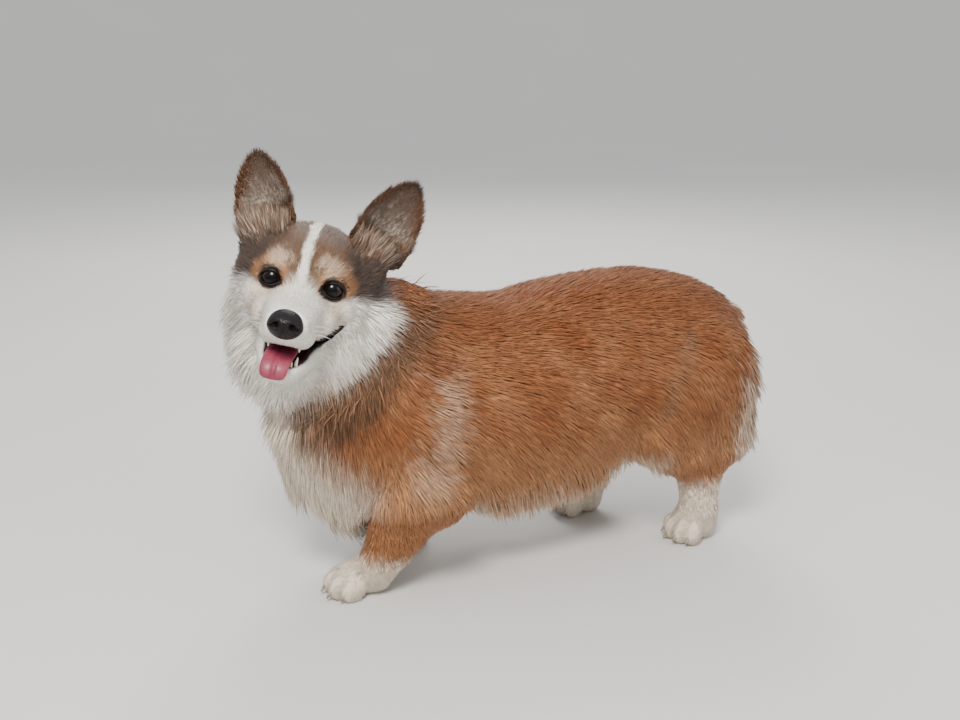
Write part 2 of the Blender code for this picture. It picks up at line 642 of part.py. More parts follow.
def cheek_rays():
    """Ruff of both cheeks: rows behind the mouth and under the ears, fanned back and down."""
    turned = HEAD.to_3x3()
    for side in (1, -1):
        rows = ((-0.016, (-4, -28, -52, -76)), (-0.030, (20, -14, -40, -64)), (-0.044, (4, -26, -54)))
        for x, angles in rows:
            for angle in angles:
                turn = math.radians(angle)
                aim = Vector((0.0, side * math.cos(turn), math.sin(turn)))
                lie = Vector((-0.40, 0.30 * side, -1.0))
                yield HEAD @ Vector((x, 0.0, -0.030)), turned @ aim, turned @ lie, 0.056, 0.028, 0.015


def neck_rays():
    """Ruff of the neck: three rings between the head and the shoulders, lying down and back."""
    count = 10
    for row, share in enumerate((0.80, 0.28, -0.24)):
        centre = NECK_CUT.translation.lerp(THROAT_CUT.translation, share)
        axis = NECK_CUT.col[2].xyz.lerp(THROAT_CUT.col[2].xyz, share).normalized()
        nape = (Vector((-1.0, 0.0, 0.0)) + axis * axis.x).normalized()
        for k in range(count):
            turn = 2 * math.pi * (k + 0.5 * (row % 2)) / count
            aim = nape * math.cos(turn) + nape.cross(axis) * math.sin(turn)
            yield centre, aim, Vector((0, 0, -0.35)) - axis, 0.060, 0.036, 0.008


def bib_rays():
    """Bib: staggered rows down the front of the chest."""
    for row, z in enumerate((0.200, 0.168, 0.136, 0.108)):
        columns = (-0.054, -0.018, 0.018, 0.054) if row % 2 == 0 else (-0.036, 0.0, 0.036)
        for y in columns:
            start = Vector((0.150, y * 0.6, z))
            yield start, Vector((1.0, y * 8.0, 0.0)), Vector((0.0, 0.0, -1.0)), 0.052, 0.033, 0.008


def fringe_rays():
    """Fringe under the chest and belly, along both sides and the middle."""
    for row, (angle, first, last) in enumerate(((-34, -0.074, 0.084), (-60, -0.060, 0.180))):
        count = 6
        for side in (1, -1):
            for k in range(count):
                x = first + (last - first) * k / (count - 1)
                turn = math.radians(angle)
                aim = Vector((0.0, side * math.cos(turn), math.sin(turn)))
                yield Vector((x, 0.0, 0.125)), aim, Vector((-0.5, 0.0, -1.0)), 0.054, 0.034, 0.015


def breeches_rays():
    """Breeches: rows down the back of both thighs."""
    for z, columns in ((0.208, (0.018, 0.074)), (0.176, (0.022, 0.070, 0.088)), (0.142, (0.020, 0.072))):
        for side in (1, -1):
            for y in columns:
                aim = Vector((-1.0, side * (y - 0.02) * 14.0, 0.0))
                yield Vector((-0.190, side * y * 0.9, z)), aim, Vector((-0.3, 0.0, -1.0)), 0.056, 0.034, 0.011


def elbow_rays():
    """Feathering behind the elbows."""
    for name in ("forepaw_left", "forepaw_right"):
        x, y = PAWS[name]["joint"]
        for z, shift in ((0.090, 0.010), (0.070, 0.018)):
            start = Vector((x + shift, y, z))
            yield start, Vector((-1.0, 0.0, 0.0)), Vector((-0.4, 0.0, -1.0)), 0.034, 0.022, 0.006


def tree_of(node):
    mesh = node.data
    return BVHTree.FromPolygons([v.co for v in mesh.vertices], [p.vertices[:] for p in mesh.polygons])


def outer_surface(nodes, trees):
    """A search tree over the faces that aren't in a cut, and the name of the node that each is on."""
    points, faces, owners = [], [], []
    for node in nodes:
        start = len(points)
        points += [v.co for v in node.data.vertices]
        for polygon in node.data.polygons:
            if not any(name != node.name and tree.find_nearest(polygon.center, 2 * GAP)[0]
                       for name, tree in trees):
                faces.append([start + i for i in polygon.vertices])
                owners.append(node.name)
    return BVHTree.FromPolygons(points, faces), owners


def lock_course(skin, owners, root, lie, length, lift, clear):
    """Centre, outward normal and heading at each station of a lock, from its sunk root to its tip.
    It follows the surface, leaves it where the surface turns away, and rises clear of other nodes."""
    base, normal, face = root
    home = owners[face]
    heading = (lie - normal * lie.dot(normal)).normalized()
    last = len(LOCK_PROFILE) - 1
    path = [(base, normal, heading, True)]
    for _ in range(last):
        ahead = base + heading * (length / last)
        near, normal, face, _ = skin.find_nearest(ahead)
        base = near + normal * (0.7 * max(0.0, (ahead - near).dot(normal)))
        heading = heading - normal * min(0.0, heading.dot(normal)) + Vector((0.0, 0.0, -LOCK_DROOP))
        heading = heading.lerp(heading - normal * heading.dot(normal), 0.6).normalized()
        path.append((base, normal, heading, owners[face] == home))
    course = []
    for k, (base, normal, heading, at_home) in enumerate(path):
        t = k / last
        height = lift * t ** 1.2 - LOCK_SINK * (1.0 - t) ** 3
        if k and not (at_home and path[min(k + 1, last)][3]):
            height = max(height, LOCK_THICK / 2 + clear)
        course.append((base + normal * height, normal, heading))
    return course


def lock_mesh(course, width, grow=0.0):
    """A flat lock with diamond sections that run out to a point. grow thickens it all round."""
    bm = bmesh.new()
    rings = []
    for (centre, normal, heading), (broad, deep) in zip(course, LOCK_PROFILE):
        across = normal.cross(heading).normalized()
        over = heading.cross(across)
        half_width = width * broad / 2 + grow
        half_thick = LOCK_THICK * deep / 2 + grow
        ring = bmesh.ops.create_circle(bm, segments=4, radius=1.0)["verts"]
        for v in ring:
            v.co = centre + across * (half_width * v.co.x) + over * (half_thick * v.co.y)
        rings.append(ring)
    close_rings(bm, rings)
    bmesh.ops.pointmerge(bm, verts=rings[-1], merge_co=course[-1][0])
    bmesh.ops.triangulate(bm, faces=bm.faces)
    return bm


def lay_locks(nodes):
    """Every lock that stays clear of the nodes it isn't rooted in: lists of objects by node name."""
    chance = random.Random(12)
    others = [(node.name, tree_of(node)) for node in nodes]
    skin, owners = outer_surface(nodes, list(others))
    locks = {}
    for rays in (cheek_rays, neck_rays, bib_rays, fringe_rays, breeches_rays, elbow_rays):
        for start, aim, lie, length, width, lift in rays():
            place, normal, _, _ = skin.ray_cast(start, aim.normalized())
            if place is None:           # the ray leaves through a cut
                continue
            lie = Matrix.Rotation(math.radians(chance.uniform(-9.0, 9.0)), 3, normal) @ lie
            back = (normal * lie.dot(normal) - lie).normalized()
            length *= chance.uniform(0.88, 1.12)
            width *= chance.uniform(0.90, 1.08)
            lift *= chance.uniform(0.85, 1.15)
            for shrink, retreat, higher in LOCK_TRIES:
                root = skin.find_nearest(place + back * retreat)[:3]
                home = owners[root[2]]
                course = lock_course(skin, owners, root, lie, length * shrink, lift, LOCK_CLEAR + higher)
                trial = lock_mesh(course, width, GAP)
                tree = BVHTree.FromBMesh(trial)
                clear = home in HAIRY_NODES and min(v.co.z for v in trial.verts) > 0.0
                trial.free()
                if clear and not any(name != home and tree.overlap(other) for name, other in others):
                    others.append((home, tree))
                    locks.setdefault(home, []).append(object_from(lock_mesh(course, width), "lock"))
                    break
    return locks


def fuse_locks(node, locks):
    """Joins a node's locks to it by one union."""
    group = bpy.data.collections.new("locks")
    bpy.context.scene.collection.children.link(group)
    for lock in locks:
        bpy.context.scene.collection.objects.unlink(lock)
        group.objects.link(lock)
    change = node.modifiers.new("fuse", "BOOLEAN")
    change.operand_type = "COLLECTION"
    change.collection = group
    change.operation = "UNION"
    change.solver = "MANIFOLD"
    apply_modifiers(node)
    for lock in locks:
        bpy.data.objects.remove(lock)
    bpy.data.collections.remove(group)
    largest_body(node)


def centre_all(nodes):
    """Moves the dog so that the middle of its box's bottom is the origin."""
    corners = [v.co for node in nodes for v in node.data.vertices]
    low = [min(c[i] for c in corners) for i in range(3)]
    high = [max(c[i] for c in corners) for i in range(3)]
    shift = Matrix.Translation(((low[0] + high[0]) / -2, (low[1] + high[1]) / -2, -low[2]))
    for node in nodes:
        node.data.transform(shift)


def main():
    clear_scene()
    nodes = make_head() + make_trunk() + [make_paw(name) for name in PAWS]
    locks = lay_locks(nodes)
    for node in nodes:
        if node.name in locks:
            fuse_locks(node, locks[node.name])
    dog = bpy.data.collections.new("pembroke_welsh_corgi")
    bpy.context.scene.collection.children.link(dog)
    for node in nodes:
        bpy.context.scene.collection.objects.unlink(node)
        dog.objects.link(node)
        node.data.name = node.name
    centre_all(nodes)


main()
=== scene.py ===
"""Pembroke Welsh corgi, standing with its head turned to its left: its looks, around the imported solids.

Metres. Everything is modelled in the dog's own frame: +X to the chest, +Y to its left, +Z up, with the
floor at z = 0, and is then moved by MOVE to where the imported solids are.
"""
import math

import bmesh
import bpy
import numpy as np
from mathutils import Euler, Matrix, Vector
from mathutils.bvhtree import BVHTree
from mathutils.kdtree import KDTree


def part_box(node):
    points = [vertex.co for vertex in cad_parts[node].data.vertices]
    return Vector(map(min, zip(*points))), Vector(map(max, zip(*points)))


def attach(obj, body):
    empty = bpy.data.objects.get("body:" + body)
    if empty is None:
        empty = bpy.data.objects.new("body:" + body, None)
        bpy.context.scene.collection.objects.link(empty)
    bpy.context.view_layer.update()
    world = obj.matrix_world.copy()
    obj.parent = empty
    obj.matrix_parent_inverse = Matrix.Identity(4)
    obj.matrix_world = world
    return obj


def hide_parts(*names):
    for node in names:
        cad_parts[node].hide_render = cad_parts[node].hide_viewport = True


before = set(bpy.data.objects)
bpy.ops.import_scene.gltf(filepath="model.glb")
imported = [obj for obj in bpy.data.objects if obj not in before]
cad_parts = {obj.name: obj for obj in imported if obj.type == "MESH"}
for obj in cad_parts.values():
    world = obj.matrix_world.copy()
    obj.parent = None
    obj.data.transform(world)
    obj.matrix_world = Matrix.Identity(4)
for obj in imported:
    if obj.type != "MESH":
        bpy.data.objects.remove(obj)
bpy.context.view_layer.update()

bl_info = {
    "name": "Pembroke Welsh corgi",
    "version": (1, 0, 0),
    "blender": (4, 5, 0),
    "location": "View3D > Sidebar > Corgi",
    "description": "Builds the skin, coat and features of a standing corgi around its packed solids",
    "category": "Object",
}

# ---------------------------------------------------------------- sizes shared with the solids

WITHERS_Z = 0.281
CROUP_Z = 0.296
CHEST_HALF_WIDTH = 0.105
HEAD_PLACE = Vector((0.2374, 0.0579, 0.3155))
HEAD_YAW = math.radians(71.0)
HEAD_PITCH = math.radians(10.0)
HEAD_ROLL = math.radians(12.5)
EYE_SPOT = Vector((-0.0055, 0.0272, 0.0))
EYE_RADIUS = 0.0108
LID_HALF_WIDTH = 0.0106
LID_HALF_HEIGHT = 0.0069
JAW_OPEN = math.radians(24.0)
NOSE_SPOT = Vector((0.0650, 0.0, -0.0320))
NOSE_HALF = Vector((0.0125, 0.0150, 0.0130))
EAR_SPOTS = {1: (Vector((-0.046, 0.0553, 0.0430)), Vector((-0.046, 0.0815, 0.1085))),
             -1: (Vector((-0.046, -0.0466, 0.0450)), Vector((-0.046, -0.0722, 0.1065)))}
EAR_HALF_WIDTH = 0.0300
EAR_THICK = 0.0040
EAR_TURN = math.radians(24.0)
PAWS = {
    "forepaw_left": {"place": (0.190, 0.046), "turn": 6.0, "length": 0.072, "joint": (0.132, 0.074)},
    "forepaw_right": {"place": (0.121, -0.056), "turn": -4.0, "length": 0.072, "joint": (0.118, -0.074)},
    "hindpaw_left": {"place": (-0.180, 0.048), "turn": 10.0, "length": 0.061, "joint": (-0.184, 0.054)},
    "hindpaw_right": {"place": (-0.096, -0.063), "turn": -6.0, "length": 0.061, "joint": (-0.130, -0.066)},
}
ELBOW_Z = 0.112
HOCK_Z = 0.082
PAW_WIDTH = 0.048
WRIST_Z = 0.034
FLESH = ("head", "lower_jaw", "ear_left", "ear_right", "neck", "chest", "abdomen", "rump", "tail",
         "foreleg_left", "foreleg_right", "forepaw_left", "forepaw_right", "thigh_left", "thigh_right",
         "shank_left", "shank_right", "hindpaw_left", "hindpaw_right")
SIDES = (("left", 1), ("right", -1))


def frame_of(forward, left, up, place):
    """Matrix that carries local X, Y, Z to forward, left, up at a place."""
    return Matrix.Translation(place) @ Matrix((forward, left, up)).transposed().to_4x4()


def tilted(place, pitch=0.0, yaw=0.0, roll=0.0):
    """Frame at a place, turned by degrees about X, then Y, then Z."""
    angles = [math.radians(angle) for angle in (roll, pitch, yaw)]
    return Matrix.Translation(place) @ Euler(angles).to_matrix().to_4x4()


def head_frame():
    cos_pitch = math.cos(HEAD_PITCH)
    forward = Vector((math.cos(HEAD_YAW) * cos_pitch, math.sin(HEAD_YAW) * cos_pitch, math.sin(HEAD_PITCH)))
    level = Vector((-math.sin(HEAD_YAW), math.cos(HEAD_YAW), 0.0))
    crown = forward.cross(level)
    left = level * math.cos(HEAD_ROLL) - crown * math.sin(HEAD_ROLL)
    return frame_of(forward, left, forward.cross(left), HEAD_PLACE)


def ear_frame(side):
    """Frame at the root of an ear: X out of its cup and Z along it, and the ear's length."""
    root, tip = EAR_SPOTS[side]
    along = (tip - root).normalized()
    facing = Vector((math.cos(EAR_TURN), math.sin(EAR_TURN) * side, 0.0))
    facing = (facing - along * facing.dot(along)).normalized()
    return HEAD @ frame_of(facing, along.cross(facing), along, root), (tip - root).length


def eye_frame(side):
    """Frame at the centre of an eye, with X along its gaze."""
    return HEAD @ tilted((EYE_SPOT.x, EYE_SPOT.y * side, EYE_SPOT.z), yaw=10.0 * side, roll=-6.0 * side)


def paw_frame(name):
    paw = PAWS[name]
    return Matrix.Translation((*paw["place"], 0.0)) @ Matrix.Rotation(math.radians(paw["turn"]), 4, "Z")


WORLD = Matrix()
AIM_X = Matrix.Rotation(math.pi / 2, 4, "Y")       # turns Z to X
HEAD = head_frame()
JAW = HEAD @ Matrix.Translation((0.0, 0.0, -0.0495)) @ Matrix.Rotation(JAW_OPEN, 4, "Y")
NECK_CUT = tilted((0.158, 0.0, 0.228), pitch=36.0)
THROAT_CUT = tilted((0.200, 0.0, 0.2585), pitch=42.0, yaw=13.0)
EYE_BOX = [Vector(corner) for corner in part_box("eye_left")]
MOVE = Matrix.Translation((EYE_BOX[0] + EYE_BOX[1]) / 2 - eye_frame(1).translation)


# ---------------------------------------------------------------- what a user may change

def colour_property(name, description, default):
    return bpy.props.FloatVectorProperty(name=name, description=description, default=default, size=3,
                                         subtype="COLOR", min=0.0, max=1.0)


def share_property(name, description, default, low=0.3, high=2.0):
    return bpy.props.FloatProperty(name=name, description=description, default=default, min=low, max=high,
                                   subtype="FACTOR")


class CorgiColours(bpy.types.PropertyGroup):
    red: colour_property("Red coat", "Back, flanks and thighs", (0.245, 0.079, 0.026))
    fawn: colour_property("Fawn coat", "Paler hair of the shoulder, eyebrows and legs", (0.450, 0.220, 0.098))
    cream: colour_property("Cream coat", "Bib, belly, breeches and feet", (0.840, 0.725, 0.590))
    white: colour_property("White coat", "Blaze, muzzle, cheeks and ruff", (0.945, 0.892, 0.805))
    sable: colour_property("Sable coat", "Forehead and the back of the ruff", (0.245, 0.138, 0.078))
    dark: colour_property("Dark coat", "Patches beside the eyes and tips of sable hair", (0.060, 0.042, 0.034))
    leather: colour_property("Leather", "Nose, lips and rims of the eyes", (0.0060, 0.0052, 0.0056))
    mouth: colour_property("Mouth", "Tongue and the inside of the mouth", (0.225, 0.036, 0.062))
    iris: colour_property("Iris", "Colour of the eyes", (0.022, 0.010, 0.006))


class CorgiSizes(bpy.types.PropertyGroup):
    coat_length: share_property("Coat length", "Length of the hair, as a share of the usual", 1.0)
    coat_density: share_property("Coat density", "Number of tufts, as a share of the usual", 1.0, 0.05, 1.2)
    floor_size: bpy.props.FloatProperty(name="Floor size", description="Side of the studio floor",
                                        default=14.0, min=2.0, unit="LENGTH", subtype="DISTANCE")


# ---------------------------------------------------------------- helpers for points in arrays

def smooth(low, high, value):
    """Rises softly from 0 at low to 1 at high, also where high is less than low."""
    t = np.clip((value - low) / (high - low), 0.0, 1.0)
    return t * t * (3.0 - 2.0 * t)


def mix(a, b, share):
    """Values or vectors a, moved by a share of the way towards b."""
    a, b = np.asarray(a, float), np.asarray(b, float)
    if a.ndim > 1 or b.ndim > 1 or b.shape == (3,):
        share = np.atleast_1d(share)[:, None]
    return a + (b - a) * share


def layered(base, *layers):
    """Values or vectors with others laid over them in turn, each by its share."""
    for layer, share in layers:
        base = mix(base, layer, share)
    return base


def unit(vectors):
    return vectors / np.maximum(np.linalg.norm(vectors, axis=-1, keepdims=True), 1e-9)


def local(points, matrix):
    """Points as seen in a frame."""
    turn = np.array(matrix.to_3x3())
    return (points - np.array(matrix.translation)) @ turn


def outward(vectors, matrix):
    """Directions of a frame, in the dog's frame."""
    return vectors @ np.array(matrix.to_3x3()).T


def ripple(points, wavelength, seed):
    """Soft patchy variation between about -1 and 1."""
    chance = np.random.default_rng(seed)
    waves = unit(chance.normal(size=(9, 3))) * (2 * math.pi / wavelength)
    waves *= chance.uniform(0.7, 1.5, (9, 1))
    return np.sin(points @ waves.T + chance.uniform(0, 2 * math.pi, 9)).sum(1) / 3.5


def inside(points, matrix, centre, half, grow):
    """How far inside an ellipsoid of a frame each point is: above 0 inside, below 0 outside."""
    away = (local(points, matrix) - np.array(centre)) / (np.array(half) + grow)
    return 1.0 - np.linalg.norm(away, axis=1)


# ---------------------------------------------------------------- meshes

def object_from(bm, name="shape"):
    bm.normal_update()
    bmesh.ops.recalc_face_normals(bm, faces=bm.faces)
    mesh = bpy.data.meshes.new(name)
    bm.to_mesh(mesh)
    bm.free()
    obj = bpy.data.objects.new(name, mesh)
    bpy.context.scene.collection.objects.link(obj)
    return obj


def apply_modifiers(obj):
    graph = bpy.context.evaluated_depsgraph_get()
    mesh = bpy.data.meshes.new_from_object(obj.evaluated_get(graph))
    old = obj.data
    obj.modifiers.clear()
    obj.data = mesh
    bpy.data.meshes.remove(old)
    return obj


def combine(obj, other, operation):
    """Boolean of an object with another, which is used up."""
    change = obj.modifiers.new("combine", "BOOLEAN")
    change.object = other
    change.operation = operation
    change.solver = "MANIFOLD"
    apply_modifiers(obj)
    bpy.data.objects.remove(other)
    return obj


def points_of(mesh):
    points = np.empty(len(mesh.vertices) * 3)
    mesh.vertices.foreach_get("co", points)
    return points.reshape(-1, 3)


def set_points(mesh, points):
    mesh.vertices.foreach_set("co", np.ascontiguousarray(points, np.float32).ravel())
    mesh.update()


def normals_of(mesh):
    normals = np.empty(len(mesh.vertices) * 3)
    mesh.vertices.foreach_get("normal", normals)
    return normals.reshape(-1, 3)


def triangles_of(mesh):
    mesh.calc_loop_triangles()
    corners = np.empty(len(mesh.loop_triangles) * 3, np.int32)
    mesh.loop_triangles.foreach_get("vertices", corners)
    return corners.reshape(-1, 3)


def relax(mesh, share, rounds):
    """Moves each point by its share of the way to the mean of its neighbours, a number of times."""
    edges = np.empty(len(mesh.edges) * 2, np.int32)
    mesh.edges.foreach_get("vertices", edges)
    a, b = edges.reshape(-1, 2).T
    points = points_of(mesh)
    count = len(points)
    degree = np.bincount(np.concatenate((a, b)), minlength=count)[:, None]
    share = np.broadcast_to(share, count)[:, None]
    for _ in range(rounds):
        mean = np.stack([np.bincount(a, points[b, i], count) + np.bincount(b, points[a, i], count)
                         for i in range(3)], axis=1) / degree
        points += (mean - points) * share
    set_points(mesh, points)


def largest_body(obj):
    """Keeps only the object's largest closed surface."""
    bm = bmesh.new()
    bm.from_mesh(obj.data)
    left = set(bm.verts)
    bodies = []
    while left:
        body, front = [], [left.pop()]
        while front:
            v = front.pop()
            body.append(v)
            for edge in v.link_edges:
                other = edge.other_vert(v)
                if other in left:
                    left.remove(other)
                    front.append(other)
        bodies.append(body)
    bodies.sort(key=len, reverse=True)
    bmesh.ops.delete(bm, geom=[v for body in bodies[1:] for v in body], context="VERTS")
    bm.to_mesh(obj.data)
    bm.free()
    return obj


def block(frame_matrix, low, high):
    """A box between two corners of a frame."""
    bm = bmesh.new()
    bmesh.ops.create_cube(bm, size=1.0)
    low, high = Vector(low), Vector(high)
    bm.transform(frame_matrix @ Matrix.Translation((low + high) / 2) @ Matrix.Diagonal((*(high - low), 1.0)))
    return object_from(bm)


def finish_piece(obj, name, material, nodes=()):
    obj.name = name
    obj.data.name = name
    obj.data.transform(MOVE)
    obj.data.materials.clear()
    obj.data.materials.append(material)
    obj.data.shade_smooth()
    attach(obj, "root")
    if nodes:
        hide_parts(*nodes)
    return obj


# ---------------------------------------------------------------- forms of flesh, without the coat

def egg(bm, centre, half, turn=(0.0, 0.0, 0.0), matrix=WORLD, detail=3):
    rotation = Euler([math.radians(angle) for angle in turn]).to_matrix().to_4x4()
    place = Matrix.Translation(centre) @ rotation @ Matrix.Diagonal((*half, 1.0))
    bmesh.ops.create_icosphere(bm, subdivisions=detail, radius=1.0, matrix=matrix @ place)


def pair(bm, centre, half, turn=(0.0, 0.0, 0.0), matrix=WORLD):
    """An ellipsoid and its mirror image across the plane y = 0."""
    x, y, z = centre
    egg(bm, (x, y, z), half, turn, matrix)
    egg(bm, (x, -y, z), half, (-turn[0], turn[1], -turn[2]), matrix)


def ring_edges(*rings):
    """Edges along rings of vertices."""
    return list({e for ring in map(set, rings) for v in ring for e in v.link_edges if e.other_vert(v) in ring})


def join_rings(bm, rings):
    """Bridges a row of rings of vertices and closes both ends."""
    for near, far in zip(rings, rings[1:]):
        bmesh.ops.bridge_loops(bm, edges=ring_edges(near, far))
    for ring in (rings[0], rings[-1]):
        bmesh.ops.contextual_create(bm, geom=ring_edges(ring))


def loft(bm, stations, hint=(0.0, 0.0, 1.0), matrix=WORLD, sides=20, square=2.3):
    """A closed tube of egg-shaped sections. A station is (centre, half width, half up, half down),
    where up is the hint's side of the section."""
    centres = [Vector(station[0]) for station in stations]
    rings = []
    for i, (centre, width, up, down) in enumerate(stations):
        along = (centres[min(i + 1, len(centres) - 1)] - centres[max(i - 1, 0)]).normalized()
        side = Vector(hint).cross(along).normalized()
        rise = along.cross(side)
        ring = bmesh.ops.create_circle(bm, segments=sides, radius=1.0)["verts"]
        for v in ring:
            across, over = [math.copysign(abs(c) ** (2.0 / square), c) for c in v.co.xy]
            v.co = matrix @ (Vector(centre) + side * (width * across) + rise * ((up if over > 0 else down) * over))
        rings.append(ring)
    join_rings(bm, rings)


def torso_forms(bm):
    """Barrel from the breeches to the breastbone: x, centre height, half width, up, height under the belly,
    and depth of the fringe that hangs from it, half of which is in the core."""
    barrel = (
        (-0.236, 0.195, 0.046, 0.046, 0.150, 0.004), (-0.215, 0.195, 0.076, 0.077, 0.125, 0.006),
        (-0.185, 0.195, 0.092, 0.091, 0.118, 0.008), (-0.140, 0.190, 0.097, CROUP_Z - 0.190, 0.110, 0.010),
        (-0.090, 0.185, 0.096, 0.111, 0.102, 0.018), (-0.040, 0.170, 0.101, 0.120, 0.090, 0.031),
        (0.010, 0.163, CHEST_HALF_WIDTH, 0.116, 0.086, 0.038),
        (0.060, 0.162, CHEST_HALF_WIDTH, WITHERS_Z - 0.162, 0.085, 0.040),
        (0.110, 0.165, 0.102, 0.119, 0.085, 0.040), (0.155, 0.165, 0.093, 0.108, 0.087, 0.044),
        (0.195, 0.165, 0.078, 0.085, 0.094, 0.046), (0.228, 0.162, 0.058, 0.060, 0.108, 0.042),
        (0.254, 0.160, 0.034, 0.036, 0.126, 0.030),
    )
    loft(bm, [((x, 0.0, z), width, up, z - bottom + fringe / 2) for x, z, width, up, bottom, fringe in barrel],
         sides=28)
    egg(bm, (0.209, 0.000, 0.178), (0.051, 0.064, 0.082))
    pair(bm, (0.118, 0.066, 0.165), (0.064, 0.044, 0.088), (0, 12, 0))
    pair(bm, (-0.160, 0.060, 0.180), (0.074, 0.044, 0.086), (0, -14, 0))
    egg(bm, (-0.232, 0.000, 0.180), (0.022, 0.056, 0.062))
    pair(bm, (-0.200, 0.052, 0.134), (0.041, 0.034, 0.062), (0, 4, 0))
    tail = (((-0.220, 0, 0.236), 0.020, 0.017, 0.017), ((-0.246, 0, 0.234), 0.016, 0.014, 0.014),
            ((-0.264, 0, 0.228), 0.009, 0.008, 0.008))
    loft(bm, tail, sides=12)


def neck_forms(bm):
    column = (
        ((0.125, 0.000, 0.175), 0.088, 0.088, 0.088), ((0.160, 0.000, 0.210), 0.081, 0.084, 0.085),
        ((0.188, 0.002, 0.245), 0.074, 0.076, 0.079), ((0.204, 0.002, 0.275), 0.065, 0.068, 0.071),
        ((0.212, 0.000, 0.305), 0.050, 0.052, 0.050),
    )
    loft(bm, column, hint=(-1.0, 0.0, 0.4), sides=24)
    egg(bm, (0.236, 0.020, 0.232), (0.036, 0.050, 0.050))
    egg(bm, (0.144, 0.000, 0.262), (0.052, 0.056, 0.043))


def limb(name, heel_share, joint_z):
    """Elbow or hock and heel of a leg, and 1 on the dog's left side or -1 on its right."""
    paw = PAWS[name]
    foot = Vector((*paw["place"], 0.0))
    heel = foot - Vector((heel_share * paw["length"], 0.0, 0.0))
    return Vector((*paw["joint"], joint_z)), heel, math.copysign(1.0, foot.y)


def foreleg_forms(bm, name):
    elbow, heel, side = limb(name, 0.20, ELBOW_Z)
    egg(bm, elbow + Vector((-0.006, 0.004 * side, 0.0)), (0.048, 0.033, 0.046))
    bends = ((0.0, 0.000, 0.034, 0.040, 0.040), (0.25, 0.007, 0.031, 0.036, 0.038),
             (0.48, 0.005, 0.027, 0.030, 0.031), (0.66, 0.009, 0.0225, 0.0225, 0.0225),
             (0.78, 0.010, 0.0215, 0.0215, 0.0215), (0.90, 0.008, 0.018, 0.018, 0.018))
    joints = [(elbow.lerp(heel, t) + Vector((bulge, 0, 0)), *sizes) for t, bulge, *sizes in bends]
    loft(bm, joints, hint=(1.0, 0.0, 0.0), sides=18, square=2.1)


def hind_leg_forms(bm, name):
    hock, heel, side = limb(name, 0.16, HOCK_Z)
    stifle = hock + Vector((0.062, 0.012 * side, 0.054))
    egg(bm, stifle, (0.036, 0.032, 0.042), (0, 20, 0))
    joints = ((stifle + Vector((-0.030, 0, 0.022)), 0.036, 0.056, 0.056),
              (stifle.lerp(hock, 0.60) + Vector((0, 0, 0.006)), 0.031, 0.040, 0.040),
              (hock, 0.0245, 0.029, 0.028),
              (hock.lerp(heel, 0.36), 0.0215, 0.0240, 0.0235),
              (heel + Vector((0.002, 0, 0.028)), 0.0210, 0.0225, 0.0220),
              (heel + Vector((0.002, 0, 0.012)), 0.017, 0.017, 0.017))
    loft(bm, joints, hint=(1.0, 0.0, 0.0), sides=18, square=2.1)


def leg_forms(bm, name):
    if name.startswith("fore"):
        foreleg_forms(bm, name)
    else:
        hind_leg_forms(bm, name)


def head_forms(bm):
    """Skull, muzzle, cheeks, lids and open jaw, in the head's own frame."""
    egg(bm, (-0.050, 0.000, 0.008), (0.066, 0.058, 0.050), matrix=HEAD)      # braincase
    egg(bm, (-0.026, 0.000, 0.012), (0.040, 0.046, 0.032), matrix=HEAD)      # forehead
    pair(bm, (-0.009, 0.0215, 0.0125), (0.016, 0.0155, 0.0105), matrix=HEAD)  # brows
    pair(bm, (-0.034, 0.036, -0.018), (0.042, 0.025, 0.032), matrix=HEAD)    # cheekbones
    pair(bm, (-0.004, 0.027, -0.030), (0.028, 0.016, 0.020), matrix=HEAD)    # cheek into the muzzle
    muzzle = (
        ((-0.035, 0, -0.020), 0.044, 0.022, 0.026), ((-0.012, 0, -0.021), 0.0360, 0.021, 0.026),
        ((0.009, 0, -0.025), 0.0302, 0.0200, 0.025), ((0.026, 0, -0.029), 0.0270, 0.0180, 0.025),
        ((0.045, 0, -0.032), 0.0243, 0.0160, 0.023), ((0.059, 0, -0.033), 0.0197, 0.0130, 0.018),
        ((0.065, 0, -0.034), 0.0115, 0.0095, 0.011),
    )
    loft(bm, muzzle, matrix=HEAD, sides=22, square=2.5)
    pair(bm, (0.039, 0.0130, -0.041), (0.020, 0.0130, 0.0135), matrix=HEAD)  # whisker pads
    jaw = (
        ((-0.030, 0, -0.012), 0.037, 0.012, 0.022), ((0.000, 0, -0.010), 0.0335, 0.010, 0.019),
        ((0.016, 0, -0.010), 0.0285, 0.010, 0.0160), ((0.031, 0, -0.010), 0.0235, 0.010, 0.0140),
        ((0.044, 0, -0.010), 0.0180, 0.0095, 0.0120), ((0.052, 0, -0.010), 0.0110, 0.0080, 0.0090),
        ((0.056, 0, -0.010), 0.0060, 0.0050, 0.0055),
    )
    loft(bm, jaw, matrix=JAW, sides=20, square=2.5)
    pair(bm, (-0.047, 0.046, -0.024), (0.036, 0.021, 0.043), (-4, 0, 0), HEAD)
    pair(bm, (-0.047, 0.037, -0.054), (0.032, 0.020, 0.035), matrix=HEAD)
    pair(bm, (-0.046, 0.029, -0.068), (0.032, 0.019, 0.030), (12, 0, 0), HEAD)
    egg(bm, (-0.050, 0.0, -0.060), (0.044, 0.048, 0.036), matrix=HEAD)       # throat
    pair(bm, (-0.047, 0.0460, 0.024), (0.023, 0.0255, 0.031), matrix=HEAD)    # roots of the ears
    pair(bm, (-0.046, 0.0470, 0.000), (0.030, 0.024, 0.032), matrix=HEAD)    # temples
    for _, side in SIDES:
        egg(bm, (0, 0, 0), [EYE_RADIUS + 0.0020] * 3, matrix=eye_frame(side))    # lids


